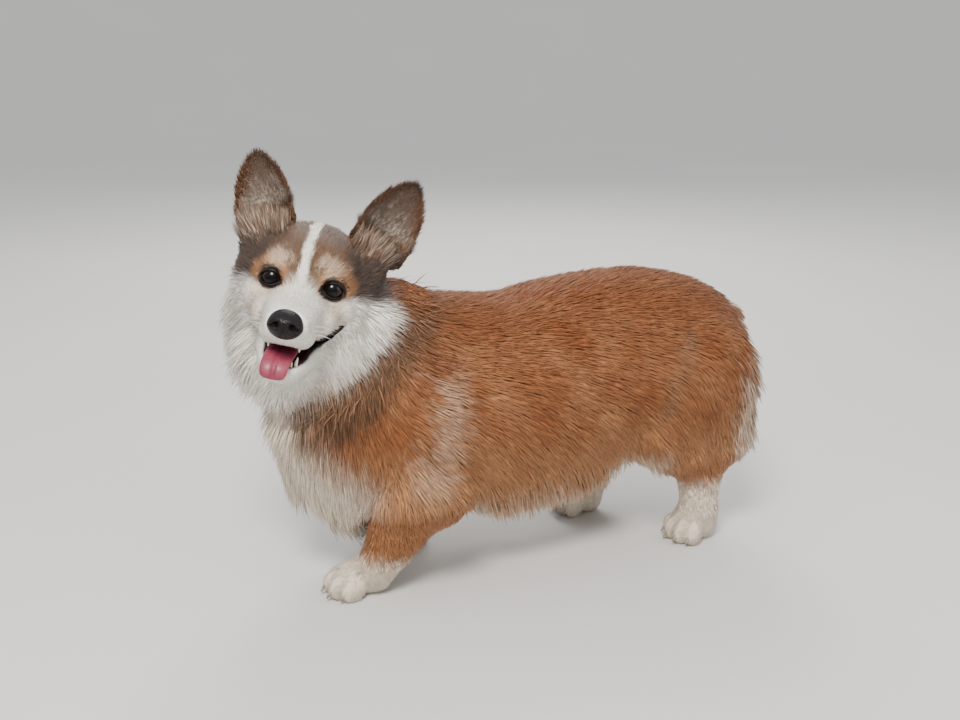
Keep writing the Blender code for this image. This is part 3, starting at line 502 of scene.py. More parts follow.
# Sections of an ear: place along it, share of its half width and how far round it reaches in degrees
EAR_STATIONS = (
    (-0.22, 0.78, 104), (0.00, 0.94, 96), (0.12, 1.00, 86), (0.27, 1.00, 72), (0.42, 0.98, 60), (0.57, 0.91, 52),
    (0.71, 0.77, 46), (0.83, 0.58, 42), (0.92, 0.39, 38), (0.975, 0.22, 36), (1.00, 0.09, 34),
)


def cup_hollow(side):
    """Centre and half sizes of the hollow at the bottom of an ear's cup, in the ear's own frame."""
    return (0.0085, 0.003 * side, 0.0200), (0.0200, 0.0225, 0.0215)


def ear_wall(t):
    """Where an ear's back runs at a share of its length, and how thick its wall is there."""
    return -0.022 + 0.016 * t, EAR_THICK * (1.0 - 0.35 * t)


def cup_and_rim(points, side):
    """Shares of the hollow side of an ear, and of its rim, at each point."""
    place, length = ear_frame(side)
    x, y, z = local(points, place).T
    t = z / length
    along, width, opening = np.array(EAR_STATIONS).T
    half = EAR_HALF_WIDTH * np.interp(t, along, width)
    radius = half / np.sin(np.minimum(np.radians(np.interp(t, along, opening)), math.pi / 2))
    back, wall = ear_wall(np.clip(t, 0.0, 1.0))
    middle = radius - wall / 2.0
    away = np.hypot(x - (back + radius), y)
    hollow = inside(points, place, *cup_hollow(side), 0.0014) > 0.0
    return np.maximum(smooth(0.0003, -0.0005, away - middle), hollow), smooth(0.74, 0.96, np.abs(y) / half)


def ear_forms(bm):
    """Upright ears: leaf-shaped shells whose cups face forward and a little outward."""
    steps = 12
    for _, side in SIDES:
        place, length = ear_frame(side)
        rings = []
        for t, width, opening in EAR_STATIONS:
            opening = math.radians(opening)
            radius = EAR_HALF_WIDTH * width / math.sin(min(opening, math.pi / 2))
            back, wall = ear_wall(max(t, 0.0))
            ring = bmesh.ops.create_circle(bm, segments=4 * steps, radius=1.0)["verts"]
            for i, v in enumerate(ring):
                k = i / steps - 1.0 if i < 2 * steps else 3.0 - i / steps
                share = abs(k) ** 3
                thick = 0.0 if i < 2 * steps else wall * (1.0 - 0.5 * share)
                inner = max(radius - thick, radius * 0.25)
                angle = opening * k * (1.0 if i < 2 * steps else 0.97)
                v.co = place @ Vector((back + radius - inner * math.cos(angle), inner * math.sin(angle), length * t))
            rings.append(ring)
        join_rings(bm, rings)
        egg(bm, (-0.006, 0.0, -0.012), (0.019, 0.0265, 0.014), matrix=place)     # floor of the cup


def toes(name):
    """Each toe's centre, half sizes and spread in degrees, in the paw's own frame."""
    half = PAWS[name]["length"] / 2.0
    width = PAW_WIDTH / 2.0
    for y, reach, spread in ((-0.74, 0.36, -12), (-0.30, 0.60, -4), (0.30, 0.60, 4), (0.74, 0.36, 12)):
        yield Vector((reach * half, y * width, 0.0115)), (0.42 * half, 0.32 * width, 0.0150), spread


def paw_forms(bm, name):
    half = PAWS[name]["length"] / 2.0
    width = PAW_WIDTH / 2.0
    place = paw_frame(name)
    egg(bm, (-0.34 * half, 0, 0.018), (0.64 * half, 0.90 * width, 0.022), matrix=place)
    egg(bm, (0.20 * half, 0, 0.018), (0.48 * half, 0.86 * width, 0.017), (0, 14, 0), place)
    for centre, sizes, spread in toes(name):
        egg(bm, centre, sizes, (0, 8, spread), place)


def hull(bm, voxel):
    """One closed hull around all the forms of a bmesh."""
    obj = object_from(bm)
    fuse = obj.modifiers.new("fuse", "REMESH")
    fuse.mode = "VOXEL"
    fuse.voxel_size = voxel
    return apply_modifiers(obj)


def thin_out(obj, triangles):
    """Brings a mesh down to about so many triangles, fewest where it is flat."""
    coarsen = obj.modifiers.new("coarsen", "DECIMATE")
    coarsen.ratio = min(1.0, triangles / len(triangles_of(obj.data)))
    coarsen.use_collapse_triangulate = True
    return apply_modifiers(obj)


# ---------------------------------------------------------------- the plan of the coat

def zones(points):
    """Shares from 0 to 1 of the parts of the dog at each point, by name."""
    x, y, z = points.T
    h = local(points, HEAD)
    zone = {"head": smooth(-0.010, 0.014, local(points, THROAT_CUT)[:, 2])}
    rest = 1.0 - zone["head"]
    for word, side in SIDES:
        e = local(points, ear_frame(side)[0])
        near = smooth(0.046, 0.036, np.abs(e[:, 1])) * smooth(0.046, 0.036, np.abs(e[:, 0]))
        zone["ear_" + word] = smooth(0.000, 0.016, e[:, 2]) * near * zone["head"]
        zone["ear_root"] = np.maximum(zone.get("ear_root", 0.0), smooth(-0.020, -0.008, e[:, 2])
                                      * smooth(0.030, 0.012, e[:, 2]) * smooth(-0.010, 0.000, e[:, 0])
                                      * smooth(0.030, 0.022, np.abs(e[:, 1])) * zone["head"])
    zone["ears"] = np.maximum(zone["ear_left"], zone["ear_right"])
    leg = np.zeros(len(points))
    for name, paw in PAWS.items():
        fore = name.startswith("fore")
        top = np.array((*paw["joint"], ELBOW_Z if fore else HOCK_Z))
        foot = np.array((*paw["place"], 0.0))
        t = np.clip(((points - foot) @ (top - foot)) / ((top - foot) @ (top - foot)), 0.0, 1.0)
        away = np.linalg.norm(points - foot - t[:, None] * (top - foot), axis=1)
        leg = np.maximum(leg, smooth(0.064, 0.048, away) * smooth(0.128, 0.094, z))
    zone["leg"] = leg
    zone["eye"] = np.zeros(len(points))
    for _, side in SIDES:
        e = local(points, eye_frame(side))
        away = np.hypot((e[:, 1] + 0.0006 * side) / 1.28, e[:, 2])
        zone["eye"] = np.maximum(zone["eye"], smooth(0.0118, 0.0096, away) * (np.abs(e[:, 0] - 0.006) < 0.014))
    zone["paw"] = smooth(0.044, 0.030, z)
    zone["neck"] = smooth(-0.030, 0.012, local(points, NECK_CUT)[:, 2]) * rest
    zone["bib"] = smooth(0.150, 0.200, x) * smooth(0.105, 0.060, np.abs(y)) * rest * (1.0 - leg)
    zone["belly"] = smooth(0.125, 0.100, z) * (1.0 - leg) * smooth(-0.13, -0.09, x)
    zone["breeches"] = smooth(-0.190, -0.222, x) * smooth(0.262, 0.225, z) * (1.0 - leg)
    zone["tail"] = smooth(-0.222, -0.236, x) * smooth(0.050, 0.036, np.abs(y)) * smooth(0.203, 0.214, z)
    zone["face"] = smooth(-0.040, 0.004, h[:, 0]) * zone["head"]
    zone["muzzle"] = smooth(0.004, 0.024, h[:, 0]) * zone["head"]
    cheek = smooth(0.006, -0.016, h[:, 2]) * smooth(0.004, -0.016, h[:, 0]) * smooth(0.026, 0.040, np.abs(h[:, 1]))
    under = smooth(-0.050, -0.072, h[:, 2]) * smooth(-0.010, -0.030, h[:, 0])
    zone["cheek"] = np.maximum(cheek, under) * zone["head"] * (1.0 - zone["ear_left"]) * (1.0 - zone["ear_right"])
    return zone


# The coat by zone, each zone laid over those before it: depth over the skin, tufts on a square metre, width and
# length of a tuft, and how far its tip stands off the skin. None leaves a measure as it is.
DEPTH, DENSITY, WIDTH, LENGTH, LIFT = range(5)
BODY_COAT = (0.0075, 2.75e5, 0.0018, 0.0240, 0.0070)
PAW_COAT = (0.0016, 7.0e5, 0.0010, 0.0105, 0.0024)
ZONE_COATS = {
    "neck": (0.0060, 3.8e5, 0.0016, 0.0290, 0.0080),
    "bib": (0.0060, 3.2e5, 0.0019, 0.0360, 0.0120),
    "belly": (0.0060, 1.9e5, 0.0023, 0.0440, 0.0180),
    "breeches": (0.0070, 2.1e5, 0.0023, 0.0400, 0.0150),
    "tail": (0.0050, None, None, 0.0140, 0.0040),
    "leg": (0.0038, 3.2e5, 0.0016, 0.0145, 0.0035),
    "head": (0.0045, 4.6e5, 0.0013, 0.0160, 0.0045),
    "face": (0.0020, 1.15e6, 0.0009, 0.0095, 0.0020),
    "muzzle": (0.0013, 1.80e6, 0.0007, 0.0055, 0.0011),
    "cheek": (0.0060, 4.6e5, 0.0016, 0.0290, 0.0135),
    "ear_left": (0.0009, 1.1e6, 0.0009, 0.0070, 0.0012),
    "ear_right": (0.0009, 1.1e6, 0.0009, 0.0070, 0.0012),
}


def coat_measure(zone, measure):
    """One measure of the coat at each point, without the paws."""
    value = np.full(len(zone["head"]), BODY_COAT[measure])
    for name, measures in ZONE_COATS.items():
        if measures[measure] is not None:
            value = mix(value, measures[measure], zone[name])
    return value


def coat_depth(zone):
    """Depth of the coat over the skin."""
    depth = coat_measure(zone, DEPTH)
    return np.where(zone["head"] < 0.5, mix(depth, PAW_COAT[DEPTH], zone["paw"]), depth)


def tuft_measure(zone, measure):
    """Tufts on a square metre, or the width of one, at each point."""
    return mix(coat_measure(zone, measure), PAW_COAT[measure], zone["paw"] * (1.0 - zone["head"]))


def coat_lie(points, normals, zone):
    """Direction in which the hair lies at each point, along the skin."""
    x, y, z = points.T
    count = len(points)
    side = np.sign(y)
    down = np.stack((np.full(count, -0.15), 1.5 * y, np.full(count, -1.0)), axis=1)
    apart = np.stack((np.full(count, -0.10), 0.30 * side, np.full(count, -1.0)), axis=1)
    body_paw = zone["paw"] * (1.0 - zone["head"])
    lie = layered(
        np.tile((-1.0, 0.0, -0.35), (count, 1)),
        ((-0.70, 0.0, -0.85), smooth(0.23, 0.13, z)),
        ((-0.35, 0.0, -1.0), smooth(-0.10, -0.17, x) * smooth(0.25, 0.19, z)),
        ((-0.40, 0.0, -1.0), smooth(-0.170, -0.212, x)),
        ((-0.35, 0.0, -1.0), smooth(0.135, 0.105, z) * (1.0 - zone["leg"])),
        ((-0.60, 0.0, -0.95), zone["neck"]),
        (down, zone["bib"]),
        (apart, zone["breeches"]),
        ((-0.25, 0.0, -1.0), zone["tail"]),
        ((-0.20, 0.0, -1.0), zone["leg"]),
        ((1.0, 0.0, -0.7), body_paw * smooth(0.3, 0.8, normals[:, 2])),
    )
    h = local(points, HEAD)
    sides = np.sign(h[:, 1])
    radial = unit(h - np.array((0.066, 0.0, -0.030)))
    ruff = np.stack((np.full(count, -0.55), 0.30 * sides, np.full(count, -1.0)), axis=1)
    on_head = outward(unit(mix(radial, unit(ruff), zone["cheek"] * 0.9)), HEAD)
    on_head = mix(on_head, unit(np.tile((-0.60, 0.0, -0.95), (count, 1))), 0.85 * smooth(-0.050, -0.080, h[:, 0]))
    lie = mix(lie, on_head, zone["head"])
    for word, turn in SIDES:
        place = ear_frame(turn)[0]
        e = local(points, place)
        fan = np.stack((np.full(count, 0.1), 12.0 * e[:, 1], np.ones(count)), axis=1)
        root = zone["ear_root"] * (sides == turn)
        lie = mix(lie, outward(unit(fan), place), np.maximum(zone["ear_" + word], root))
    rise = (lie * normals).sum(1)
    ears = np.maximum(zone["ears"], zone["ear_root"])
    free = np.maximum(0.75 * np.maximum(zone["neck"], zone["cheek"]), ears > 0.5)
    return unit(lie - normals * np.where(rise > 0.0, rise * (1.0 - free), rise)[:, None])


def coat_length(points, zone):
    """Length of the hair and how far its tips stand off the skin."""
    length, lift = coat_measure(zone, LENGTH), coat_measure(zone, LIFT)
    nape = smooth(0.285, 0.305, points[:, 2]) * (1.0 - zone["head"])
    length, lift = length * (1.0 - 0.35 * nape), lift * (1.0 - 0.55 * nape)
    length = mix(length, 0.0045, zone["eye"])
    length = mix(length, 0.0170, zone["ear_root"])
    lift = mix(lift, 0.0050, zone["ear_root"])
    low = 1.0 - 0.40 * zone["breeches"] * smooth(0.160, 0.120, points[:, 2]) \
        + 0.45 * smooth(0.130, 0.160, points[:, 0]) * smooth(0.130, 0.100, points[:, 2]) * (1.0 - zone["leg"])
    feet = zone["paw"] * (1.0 - zone["head"])
    return mix(length * low, PAW_COAT[LENGTH], feet), mix(lift * low, PAW_COAT[LIFT], feet)


def markings(points, zone, colours):
    """Colour of the hair at each point, some of it painted shade, and how dark its tips are."""
    x, y, z = points.T
    hx, hy, hz = local(points, HEAD).T
    wide = np.abs(hy)
    patch = ripple(points, 0.045, 5)
    fine = ripple(points, 0.012, 6)
    wobble = 0.004 * fine
    red, fawn, cream, white = [np.array(colours[name]) for name in ("red", "fawn", "cream", "white")]
    sable, dark = np.array(colours["sable"]), np.array(colours["dark"])
    # Painted shade: a darker sable line along the fold in front of the thigh.
    crease_shade = smooth(0.014, 0.001, np.abs(x + 0.107 + 0.33 * (z - 0.165) + wobble)) * smooth(0.150, 0.175, z)
    stripe = smooth(0.030, 0.000, np.abs(x - 0.126 + 0.16 * (z - 0.20) + 3.0 * wobble)) \
        * smooth(0.252, 0.200, z + 3.0 * wobble)
    edge = 0.118 + 0.018 * smooth(-0.055, -0.085, x)
    belly = smooth(edge, edge - 0.030, z + 1.5 * wobble) * (1 - zone["leg"]) * smooth(-0.145, -0.100, x + 2.0 * wobble)
    chest = smooth(0.160, 0.195, x + wobble) * smooth(0.078, 0.038, np.abs(y + 0.008) - 0.55 * (0.175 - z) + wobble)
    rear = smooth(-0.190, -0.230, x + 2.5 * wobble + 0.55 * np.maximum(z - 0.205, 0.0)) * (1 - 0.8 * zone["tail"]) \
        * smooth(0.272, 0.240, z + 2.0 * wobble)
    legs = mix(np.tile(mix(red, fawn, 0.45), (len(points), 1)), cream,
               np.where(x > 0.03, smooth(0.060, 0.030, z + wobble), smooth(0.092, 0.062, z + wobble)))
    # The band behind the ruff: partly the coat's own grey-brown sable and partly painted shadow of the head on the
    # neck.
    ring = zone["neck"] * smooth(-0.052, -0.018, local(points, THROAT_CUT)[:, 2] + 2.0 * wobble)
    ring = ring * smooth(0.300, 0.270, z)
    body = layered(
        np.tile(red, (len(points), 1)),
        (fawn, 0.26 + 0.18 * patch),
        # painted shade: the red coat darker along the top of the back
        (red * 0.76, 0.70 * smooth(0.215, 0.275, z + 2.0 * wobble)),
        (fawn, 0.72 * smooth(0.19, 0.11, z + wobble)),
        # painted shade in the fold in front of the thigh
        (sable, 0.50 * crease_shade * smooth(0.262, 0.235, z) * smooth(0.040, 0.060, np.abs(y))),
        (mix(fawn, cream, 0.45), 0.52 * stripe * smooth(0.105, 0.14, z)),
        (cream, belly * 0.72),
        (cream, chest),
        (mix(cream, fawn, 0.18), rear * 0.88),
        (legs, zone["leg"]),
        # sable band behind the ruff, partly painted shadow of the head
        (sable * 0.66, 0.84 * ring * (1 - chest)),
    )
    # head
    mask = 0.94 * smooth(0.026, 0.038, wide) * smooth(0.003, -0.012, hx) * smooth(-0.012, -0.003, hz + wobble)
    streaks = smooth(0.1, 0.9, ripple(points * (1.0, 1.0, 0.4), 0.006, 8))
    eye = np.hypot((wide - EYE_SPOT.y) / 1.15, hz - 0.003)
    spot = smooth(0.0180, 0.0115, eye + 0.4 * wobble) * smooth(-0.040, -0.022, hx)
    brow = smooth(0.0120, 0.0030, np.hypot((wide - 0.021) / 1.4, hz - 0.0165) + 0.7 * wobble) * smooth(-0.03, -0.01, hx)
    blaze = smooth(0.0054, 0.0024, wide + 0.3 * wobble) * smooth(0.062, 0.052, hz)
    snout = smooth(0.000, 0.016, hx + 0.9 * (-0.010 - hz) - 0.45 * wide + 0.008)
    low = smooth(-0.004, -0.014, hz + 0.3 * wobble - 0.005 * smooth(0.036, 0.050, wide))
    tint = smooth(0.016, 0.026, wide) * smooth(0.045, 0.010, hx) * smooth(-0.050, -0.030, hz) * smooth(-0.004, 0.01, hx)
    streak = smooth(0.0, 0.8, ripple(points, 0.0045, 9))
    face = layered(
        np.tile(sable * 0.64, (len(points), 1)),
        (fawn, 0.10 + 0.14 * patch),
        (dark, mask * smooth(0.046, 0.018, hz + 2.0 * wobble)),
        (dark, 0.16 + 0.34 * streaks),
        (fawn, 0.72 * spot),
        (mix(fawn, cream, 0.60), 0.66 * brow),
        (white, np.maximum(blaze * smooth(-0.052, -0.036, hx), low * (1 - 0.6 * spot))),
        (white, snout * (1 - spot * smooth(0.010, 0.018, wide))),
        (mix(fawn, cream, 0.45), 0.55 * tint),
        (mix(sable, red, 0.6), smooth(-0.060, -0.085, hx) * (1 - low)),
        # blue-grey at the roots of the ears: partly the hair's own grey and partly painted shade in the ear's opening
        (sable * np.array((0.70, 0.80, 1.00)), 0.65 * zone["ear_root"]),
        (mix(fawn, cream, 0.75), 0.60 * streak * zone["ear_root"]),
        (dark * 0.35, zone["eye"]),
    )
    colour = mix(body, face, zone["head"])
    # the darker tips in the band behind the ruff are partly painted shadow of the head
    tips = 0.08 + 0.16 * ring * (1 - chest) + 0.45 * zone["head"] * (1 - low) * (1 - spot) * (1 - brow) \
        * (1 - blaze) * (1 - snout) * (1 - zone["ear_root"])
    tips = tips * (1 - 0.9 * np.maximum(chest, smooth(0.112, 0.100, z)) * (1 - zone["head"]))
    for word, side in SIDES:
        height = local(points, ear_frame(side)[0])[:, 2]
        cup, edge = cup_and_rim(points, side)
        # inside of the ear: grey-brown with cream streaks, its blue-grey darkness partly painted shade in the hollow of
        # the cup
        inner = layered(
            np.tile(sable * np.array((0.46, 0.55, 0.74)), (len(points), 1)),
            (dark, 0.16 + 0.16 * fine),
            (cream, (0.06 + 0.46 * streak) * smooth(0.052, 0.012, height + 3 * wobble)),
        )
        ear = layered(
            np.tile(mix(sable, red, 0.40), (len(points), 1)),
            (dark, 0.22 + 0.20 * ripple(points, 0.007, 11)),
            (inner, np.maximum(cup * (1 - edge), zone["ear_root"])),
            (dark, 0.6 * smooth(0.052, 0.070, height)),
        )
        colour = mix(colour, ear, zone["ear_" + word])
    return np.clip(colour, 0.0, 1.0), np.clip(tips, 0.0, 1.0)


# ---------------------------------------------------------------- materials

def shader_of(name):
    made = bpy.data.materials.new(name)
    made.use_nodes = True
    return made, made.node_tree, made.node_tree.nodes["Principled BSDF"]


def noise(tree, scale, detail):
    """Noise over the object's own coordinates."""
    place = tree.nodes.new("ShaderNodeTexCoord")
    texture = tree.nodes.new("ShaderNodeTexNoise")
    texture.inputs["Scale"].default_value = scale
    texture.inputs["Detail"].default_value = detail
    texture.inputs["Roughness"].default_value = 0.55
    tree.links.new(place.outputs["Object"], texture.inputs["Vector"])
    return texture.outputs["Fac"]


def cells(tree, scale):
    """Distance to the nearest point of a scatter of cells, over the object's own coordinates."""
    place = tree.nodes.new("ShaderNodeTexCoord")
    texture = tree.nodes.new("ShaderNodeTexVoronoi")
    texture.inputs["Scale"].default_value = scale
    tree.links.new(place.outputs["Object"], texture.inputs["Vector"])
    return texture.outputs["Distance"]


def ramp(tree, factor, stops):
    made = tree.nodes.new("ShaderNodeValToRGB")
    elements = made.color_ramp.elements
    while len(elements) < len(stops):
        elements.new(0.5)
    for element, (place, colour) in zip(elements, stops):
        element.position = place
        element.color = (*colour, 1.0)
    tree.links.new(factor, made.inputs["Fac"])
    return made.outputs["Color"]


def bump(tree, shader, height, strength, distance):
    made = tree.nodes.new("ShaderNodeBump")
    made.inputs["Strength"].default_value = strength
    made.inputs["Distance"].default_value = distance
    tree.links.new(height, made.inputs["Height"])
    tree.links.new(made.outputs["Normal"], shader.inputs["Normal"])


def shade(colour, factor):
    return tuple(min(1.0, channel * factor) for channel in colour)


def attribute_colour(tree, name):
    made = tree.nodes.new("ShaderNodeAttribute")
    made.attribute_name = name
    return made.outputs["Color"]


def tinted(tree, colour, factor, low, high):
    """A colour multiplied by a grey that follows a factor between two values."""
    grey = ramp(tree, factor, ((0.3, (low, low, low)), (0.7, (high, high, high))))
    made = tree.nodes.new("ShaderNodeMix")
    made.data_type = "RGBA"
    made.blend_type = "MULTIPLY"
    made.inputs["Factor"].default_value = 1.0
    tree.links.new(colour, made.inputs["A"])
    tree.links.new(grey, made.inputs["B"])
    return made.outputs["Result"]


def hair_material():
    """Hair of the coat: its colour is painted on each tuft, with a fine streak over it."""
    made, tree, shader = shader_of("coat_hair")
    tree.links.new(tinted(tree, attribute_colour(tree, "coat"), noise(tree, 900.0, 3.0), 0.86, 1.08),
                   shader.inputs["Base Color"])
    shader.inputs["Roughness"].default_value = 0.60
    shader.inputs["Specular IOR Level"].default_value = 0.18
    shader.inputs["Sheen Weight"].default_value = 0.04
    shader.inputs["Sheen Roughness"].default_value = 0.45
    return made


def skin_material():
    """Skin under the coat, seen only between tufts and in the mouth, with short flat hair as a bump."""
    made, tree, shader = shader_of("skin")
    tree.links.new(tinted(tree, attribute_colour(tree, "coat"), noise(tree, 420.0, 5.0), 0.78, 1.04),
                   shader.inputs["Base Color"])
    shader.inputs["Roughness"].default_value = 0.70
    shader.inputs["Specular IOR Level"].default_value = 0.20
    bump(tree, shader, noise(tree, 700.0, 4.0), 0.5, 0.0010)
    return made


def leather_material(name, colour, scale, strength, roughness):
    """Bare skin of the nose, lips and lids: fine cobbles with a damp gloss."""
    made, tree, shader = shader_of(name)
    tree.links.new(ramp(tree, cells(tree, scale), ((0.0, shade(colour, 1.5)), (0.6, colour))),
                   shader.inputs["Base Color"])
    shader.inputs["Roughness"].default_value = roughness
    shader.inputs["Specular IOR Level"].default_value = 0.20
    bump(tree, shader, cells(tree, scale), strength, 0.0006)
    return made


def wet_material(name, colour):
    """Tongue: pink, finely pimpled and wet."""
    made, tree, shader = shader_of(name)
    tree.links.new(ramp(tree, noise(tree, 130.0, 4.0), ((0.3, shade(colour, 0.80)), (0.7, shade(colour, 1.20)))),
                   shader.inputs["Base Color"])
    shader.inputs["Roughness"].default_value = 0.42
    shader.inputs["Specular IOR Level"].default_value = 0.25
    shader.inputs["Subsurface Weight"].default_value = 0.10
    shader.inputs["Subsurface Scale"].default_value = 0.003
    shader.inputs["Coat Weight"].default_value = 0.18
    shader.inputs["Coat Roughness"].default_value = 0.20
    bump(tree, shader, cells(tree, 1500.0), 0.35, 0.0004)
    return made


def horn_material(name, dark_colour, pale_colour, roughness):
    """Claw horn or tooth enamel: streaked along its growth."""
    made, tree, shader = shader_of(name)
    tree.links.new(ramp(tree, noise(tree, 260.0, 3.0), ((0.35, dark_colour), (0.65, pale_colour))),
                   shader.inputs["Base Color"])
    shader.inputs["Roughness"].default_value = roughness
    bump(tree, shader, noise(tree, 900.0, 2.0), 0.15, 0.0003)
    return made


def eye_material(iris):
    """Eyeball: pupil, iris with fine rays and a dark rim, under a clear wet gloss. The ring attribute is
    0 at the middle of the pupil and 1 at the edge of the lids."""
    made, tree, shader = shader_of("eyeball")
    ring = tree.nodes.new("ShaderNodeAttribute")
    ring.attribute_name = "ring"
    colour = ramp(tree, ring.outputs["Fac"], ((0.0, (0.001, 0.001, 0.001)), (0.40, (0.001, 0.001, 0.001)),
                                              (0.46, shade(iris, 0.5)), (0.62, shade(iris, 1.1)),
                                              (0.80, shade(iris, 0.20)), (0.95, (0.004, 0.003, 0.003))))
    tree.links.new(tinted(tree, colour, noise(tree, 700.0, 2.0), 0.75, 1.15), shader.inputs["Base Color"])
    shader.inputs["Roughness"].default_value = 0.22
    shader.inputs["Specular IOR Level"].default_value = 0.10
    shader.inputs["Coat Weight"].default_value = 0.28
    shader.inputs["Coat Roughness"].default_value = 0.04
    return made


# ---------------------------------------------------------------- skin

HEAD_VOXEL = 0.0012
PAW_VOXEL = 0.0014
TRUNK_VOXEL = 0.0030
PAW_TRIANGLES = 7000
TRUNK_TRIANGLES = 62000
SKIN_TRIANGLES = 186000
UNWRAP_TRIANGLES = 9000
MOUTH_SPOT = (0.022, 0.0, -0.0555)       # in the head's frame, like the other two
MOUTH_HALF = (0.036, 0.0200, 0.0125)
MOUTH_PITCH = 12.0


def mouth_corner(side):
    """Cutter for one corner of the smiling mouth: a wedge that narrows and rises out to the cheek."""
    slices = (
        (0.0180, (-0.012, -0.0510), (0.036, -0.0500), (0.036, -0.0640)),
        (0.0250, (-0.008, -0.0480), (0.036, -0.0485), (0.036, -0.0640)),
        (0.0320, (-0.003, -0.0430), (0.032, -0.0425), (0.032, -0.0620)),
        (0.0400, (-0.001, -0.0345), (0.027, -0.0340), (0.027, -0.0505)),
        (0.0445, (0.001, -0.0290), (0.025, -0.0285), (0.025, -0.0375)),
    )[:5 if side > 0 else 2]
    bm = bmesh.new()
    rings = []
    for y, *corners in slices:
        ring = [bm.verts.new(HEAD @ Vector((x, y * side, z))) for x, z in corners]
        for i in range(3):
            bm.edges.new((ring[i - 1], ring[i]))
        rings.append(ring)
    join_rings(bm, rings)
    bmesh.ops.triangulate(bm, faces=bm.faces)
    return object_from(bm)


def carve(obj, matrix, centre, half, turn=(0.0, 0.0, 0.0)):
    bm = bmesh.new()
    egg(bm, centre, half, turn, matrix, 4)
    return combine(obj, object_from(bm), "DIFFERENCE")


def draw_in(obj):
    """Moves the hull inwards by the depth of its coat."""
    points = points_of(obj.data)
    depth = coat_depth(zones(points))
    set_points(obj.data, points - normals_of(obj.data) * depth[:, None])


def cut_off(obj, place, low, high, reach=0.5):
    """Takes away what is between two heights of a frame."""
    combine(obj, block(place, (-reach, -reach, low), (reach, reach, high)), "DIFFERENCE")


def head_skin():
    bm = bmesh.new()
    head_forms(bm)
    neck_forms(bm)
    ear_forms(bm)
    head = hull(bm, HEAD_VOXEL)
    cut_off(head, THROAT_CUT, -0.8, -0.030, 0.6)
    for _, side in SIDES:
        carve(head, ear_frame(side)[0], *cup_hollow(side))
    points = points_of(head.data)
    zone = zones(points)
    eyes = np.zeros(len(points))
    for _, side in SIDES:
        away = np.linalg.norm(points - np.array(eye_frame(side).translation), axis=1)
        eyes = np.maximum(eyes, smooth(0.024, 0.014, away))
    share = mix(mix(0.5, 0.30, zone["muzzle"]), 0.18, eyes)
    relax(head.data, mix(share, 0.06, zone["ears"] * smooth(0.3, 1.0, zone["ears"])), 34)
    draw_in(head)
    for _, side in SIDES:
        place = eye_frame(side)
        carve(head, place, (0.0130, 0, 0), (0.0100, 0.0118, 0.0088))
        carve(head, place, (0, 0, 0), [EYE_RADIUS - 0.0003] * 3)
    carve(head, HEAD, NOSE_SPOT, NOSE_HALF - Vector((0.0010, 0.0010, 0.0010)))
    carve(head, HEAD, MOUTH_SPOT, MOUTH_HALF, (0, MOUTH_PITCH, 0))
    for _, side in SIDES:
        combine(head, mouth_corner(side), "DIFFERENCE")
    return head


def trunk_skin():
    bm = bmesh.new()
    torso_forms(bm)
    neck_forms(bm)
    head_forms(bm)
    for name in PAWS:
        leg_forms(bm, name)
    trunk = hull(bm, TRUNK_VOXEL)
    relax(trunk.data, 0.5, 22)
    draw_in(trunk)
    cut_off(trunk, THROAT_CUT, -0.020, 0.5)
    cut_off(trunk, WORLD, -0.1, WRIST_Z - 0.010)
    return largest_body(thin_out(trunk, TRUNK_TRIANGLES))


def paw_skin(name):
    bm = bmesh.new()
    paw_forms(bm, name)
    leg_forms(bm, name)
    paw = hull(bm, PAW_VOXEL)
    relax(paw.data, 0.5, 24)
    draw_in(paw)
    cut_off(paw, WORLD, -0.1, 0.0)
    cut_off(paw, WORLD, WRIST_Z, 0.5)
    return thin_out(paw, PAW_TRIANGLES)


def lines_mouth(points):
    """Whether each point lines the inside of the open mouth."""
    return inside(points, HEAD @ tilted(MOUTH_SPOT, pitch=MOUTH_PITCH), (0, 0, 0), MOUTH_HALF, 0.0008) > 0.0


def paint(obj, colours):
    """Paints the coat's colours on the skin with painted shade under the coat, dark lips, and a pink lining deep in the
    mouth darkened as painted shade.
    """
    mesh = obj.data
    points = points_of(mesh)
    colour, _ = markings(points, zones(points), colours)
    colour = mix(colour, np.array(colours["leather"]) * 1.5, smooth(0.0045, 0.0020, near_mouth(points)))
    # deep in the mouth the pink lining is darkened to painted shade
    deep = lines_mouth(points) & (np.abs(local(points, HEAD)[:, 1]) < 0.019)
    colour[deep] = np.array(colours["mouth"]) * 0.35
    # a tenth darker than the coat: painted shade under the coat
    paint_attribute(mesh, colour * 0.9)


def paint_attribute(mesh, colour):
    layer = mesh.attributes.new("coat", "FLOAT_COLOR", "POINT")
    rgba = np.ones((len(colour), 4), np.float32)
    rgba[:, :3] = colour
    layer.data.foreach_set("color", rgba.ravel())


def mouth_tree():
    """Search tree over the surface of the space of the open mouth, for distances to it."""
    bm = bmesh.new()
    egg(bm, MOUTH_SPOT, MOUTH_HALF, (0, MOUTH_PITCH, 0), HEAD)
    space = object_from(bm)
    for _, side in SIDES:
        combine(space, mouth_corner(side), "UNION")
    mesh = space.data
    tree = BVHTree.FromPolygons([v.co for v in mesh.vertices], [p.vertices[:] for p in mesh.polygons])
    bpy.data.objects.remove(space)
    return tree


MOUTH = mouth_tree()


def in_mouth(spot):
    """Whether a point is in the space of the open mouth: a ray from it crosses its surface an odd number of
    times."""
    aim = Vector((0.31, 0.22, 0.92)).normalized()
    odd = False
    place = MOUTH.ray_cast(spot, aim)[0]
    while place is not None:
        odd = not odd
        place = MOUTH.ray_cast(place + aim * 1e-6, aim)[0]
    return odd


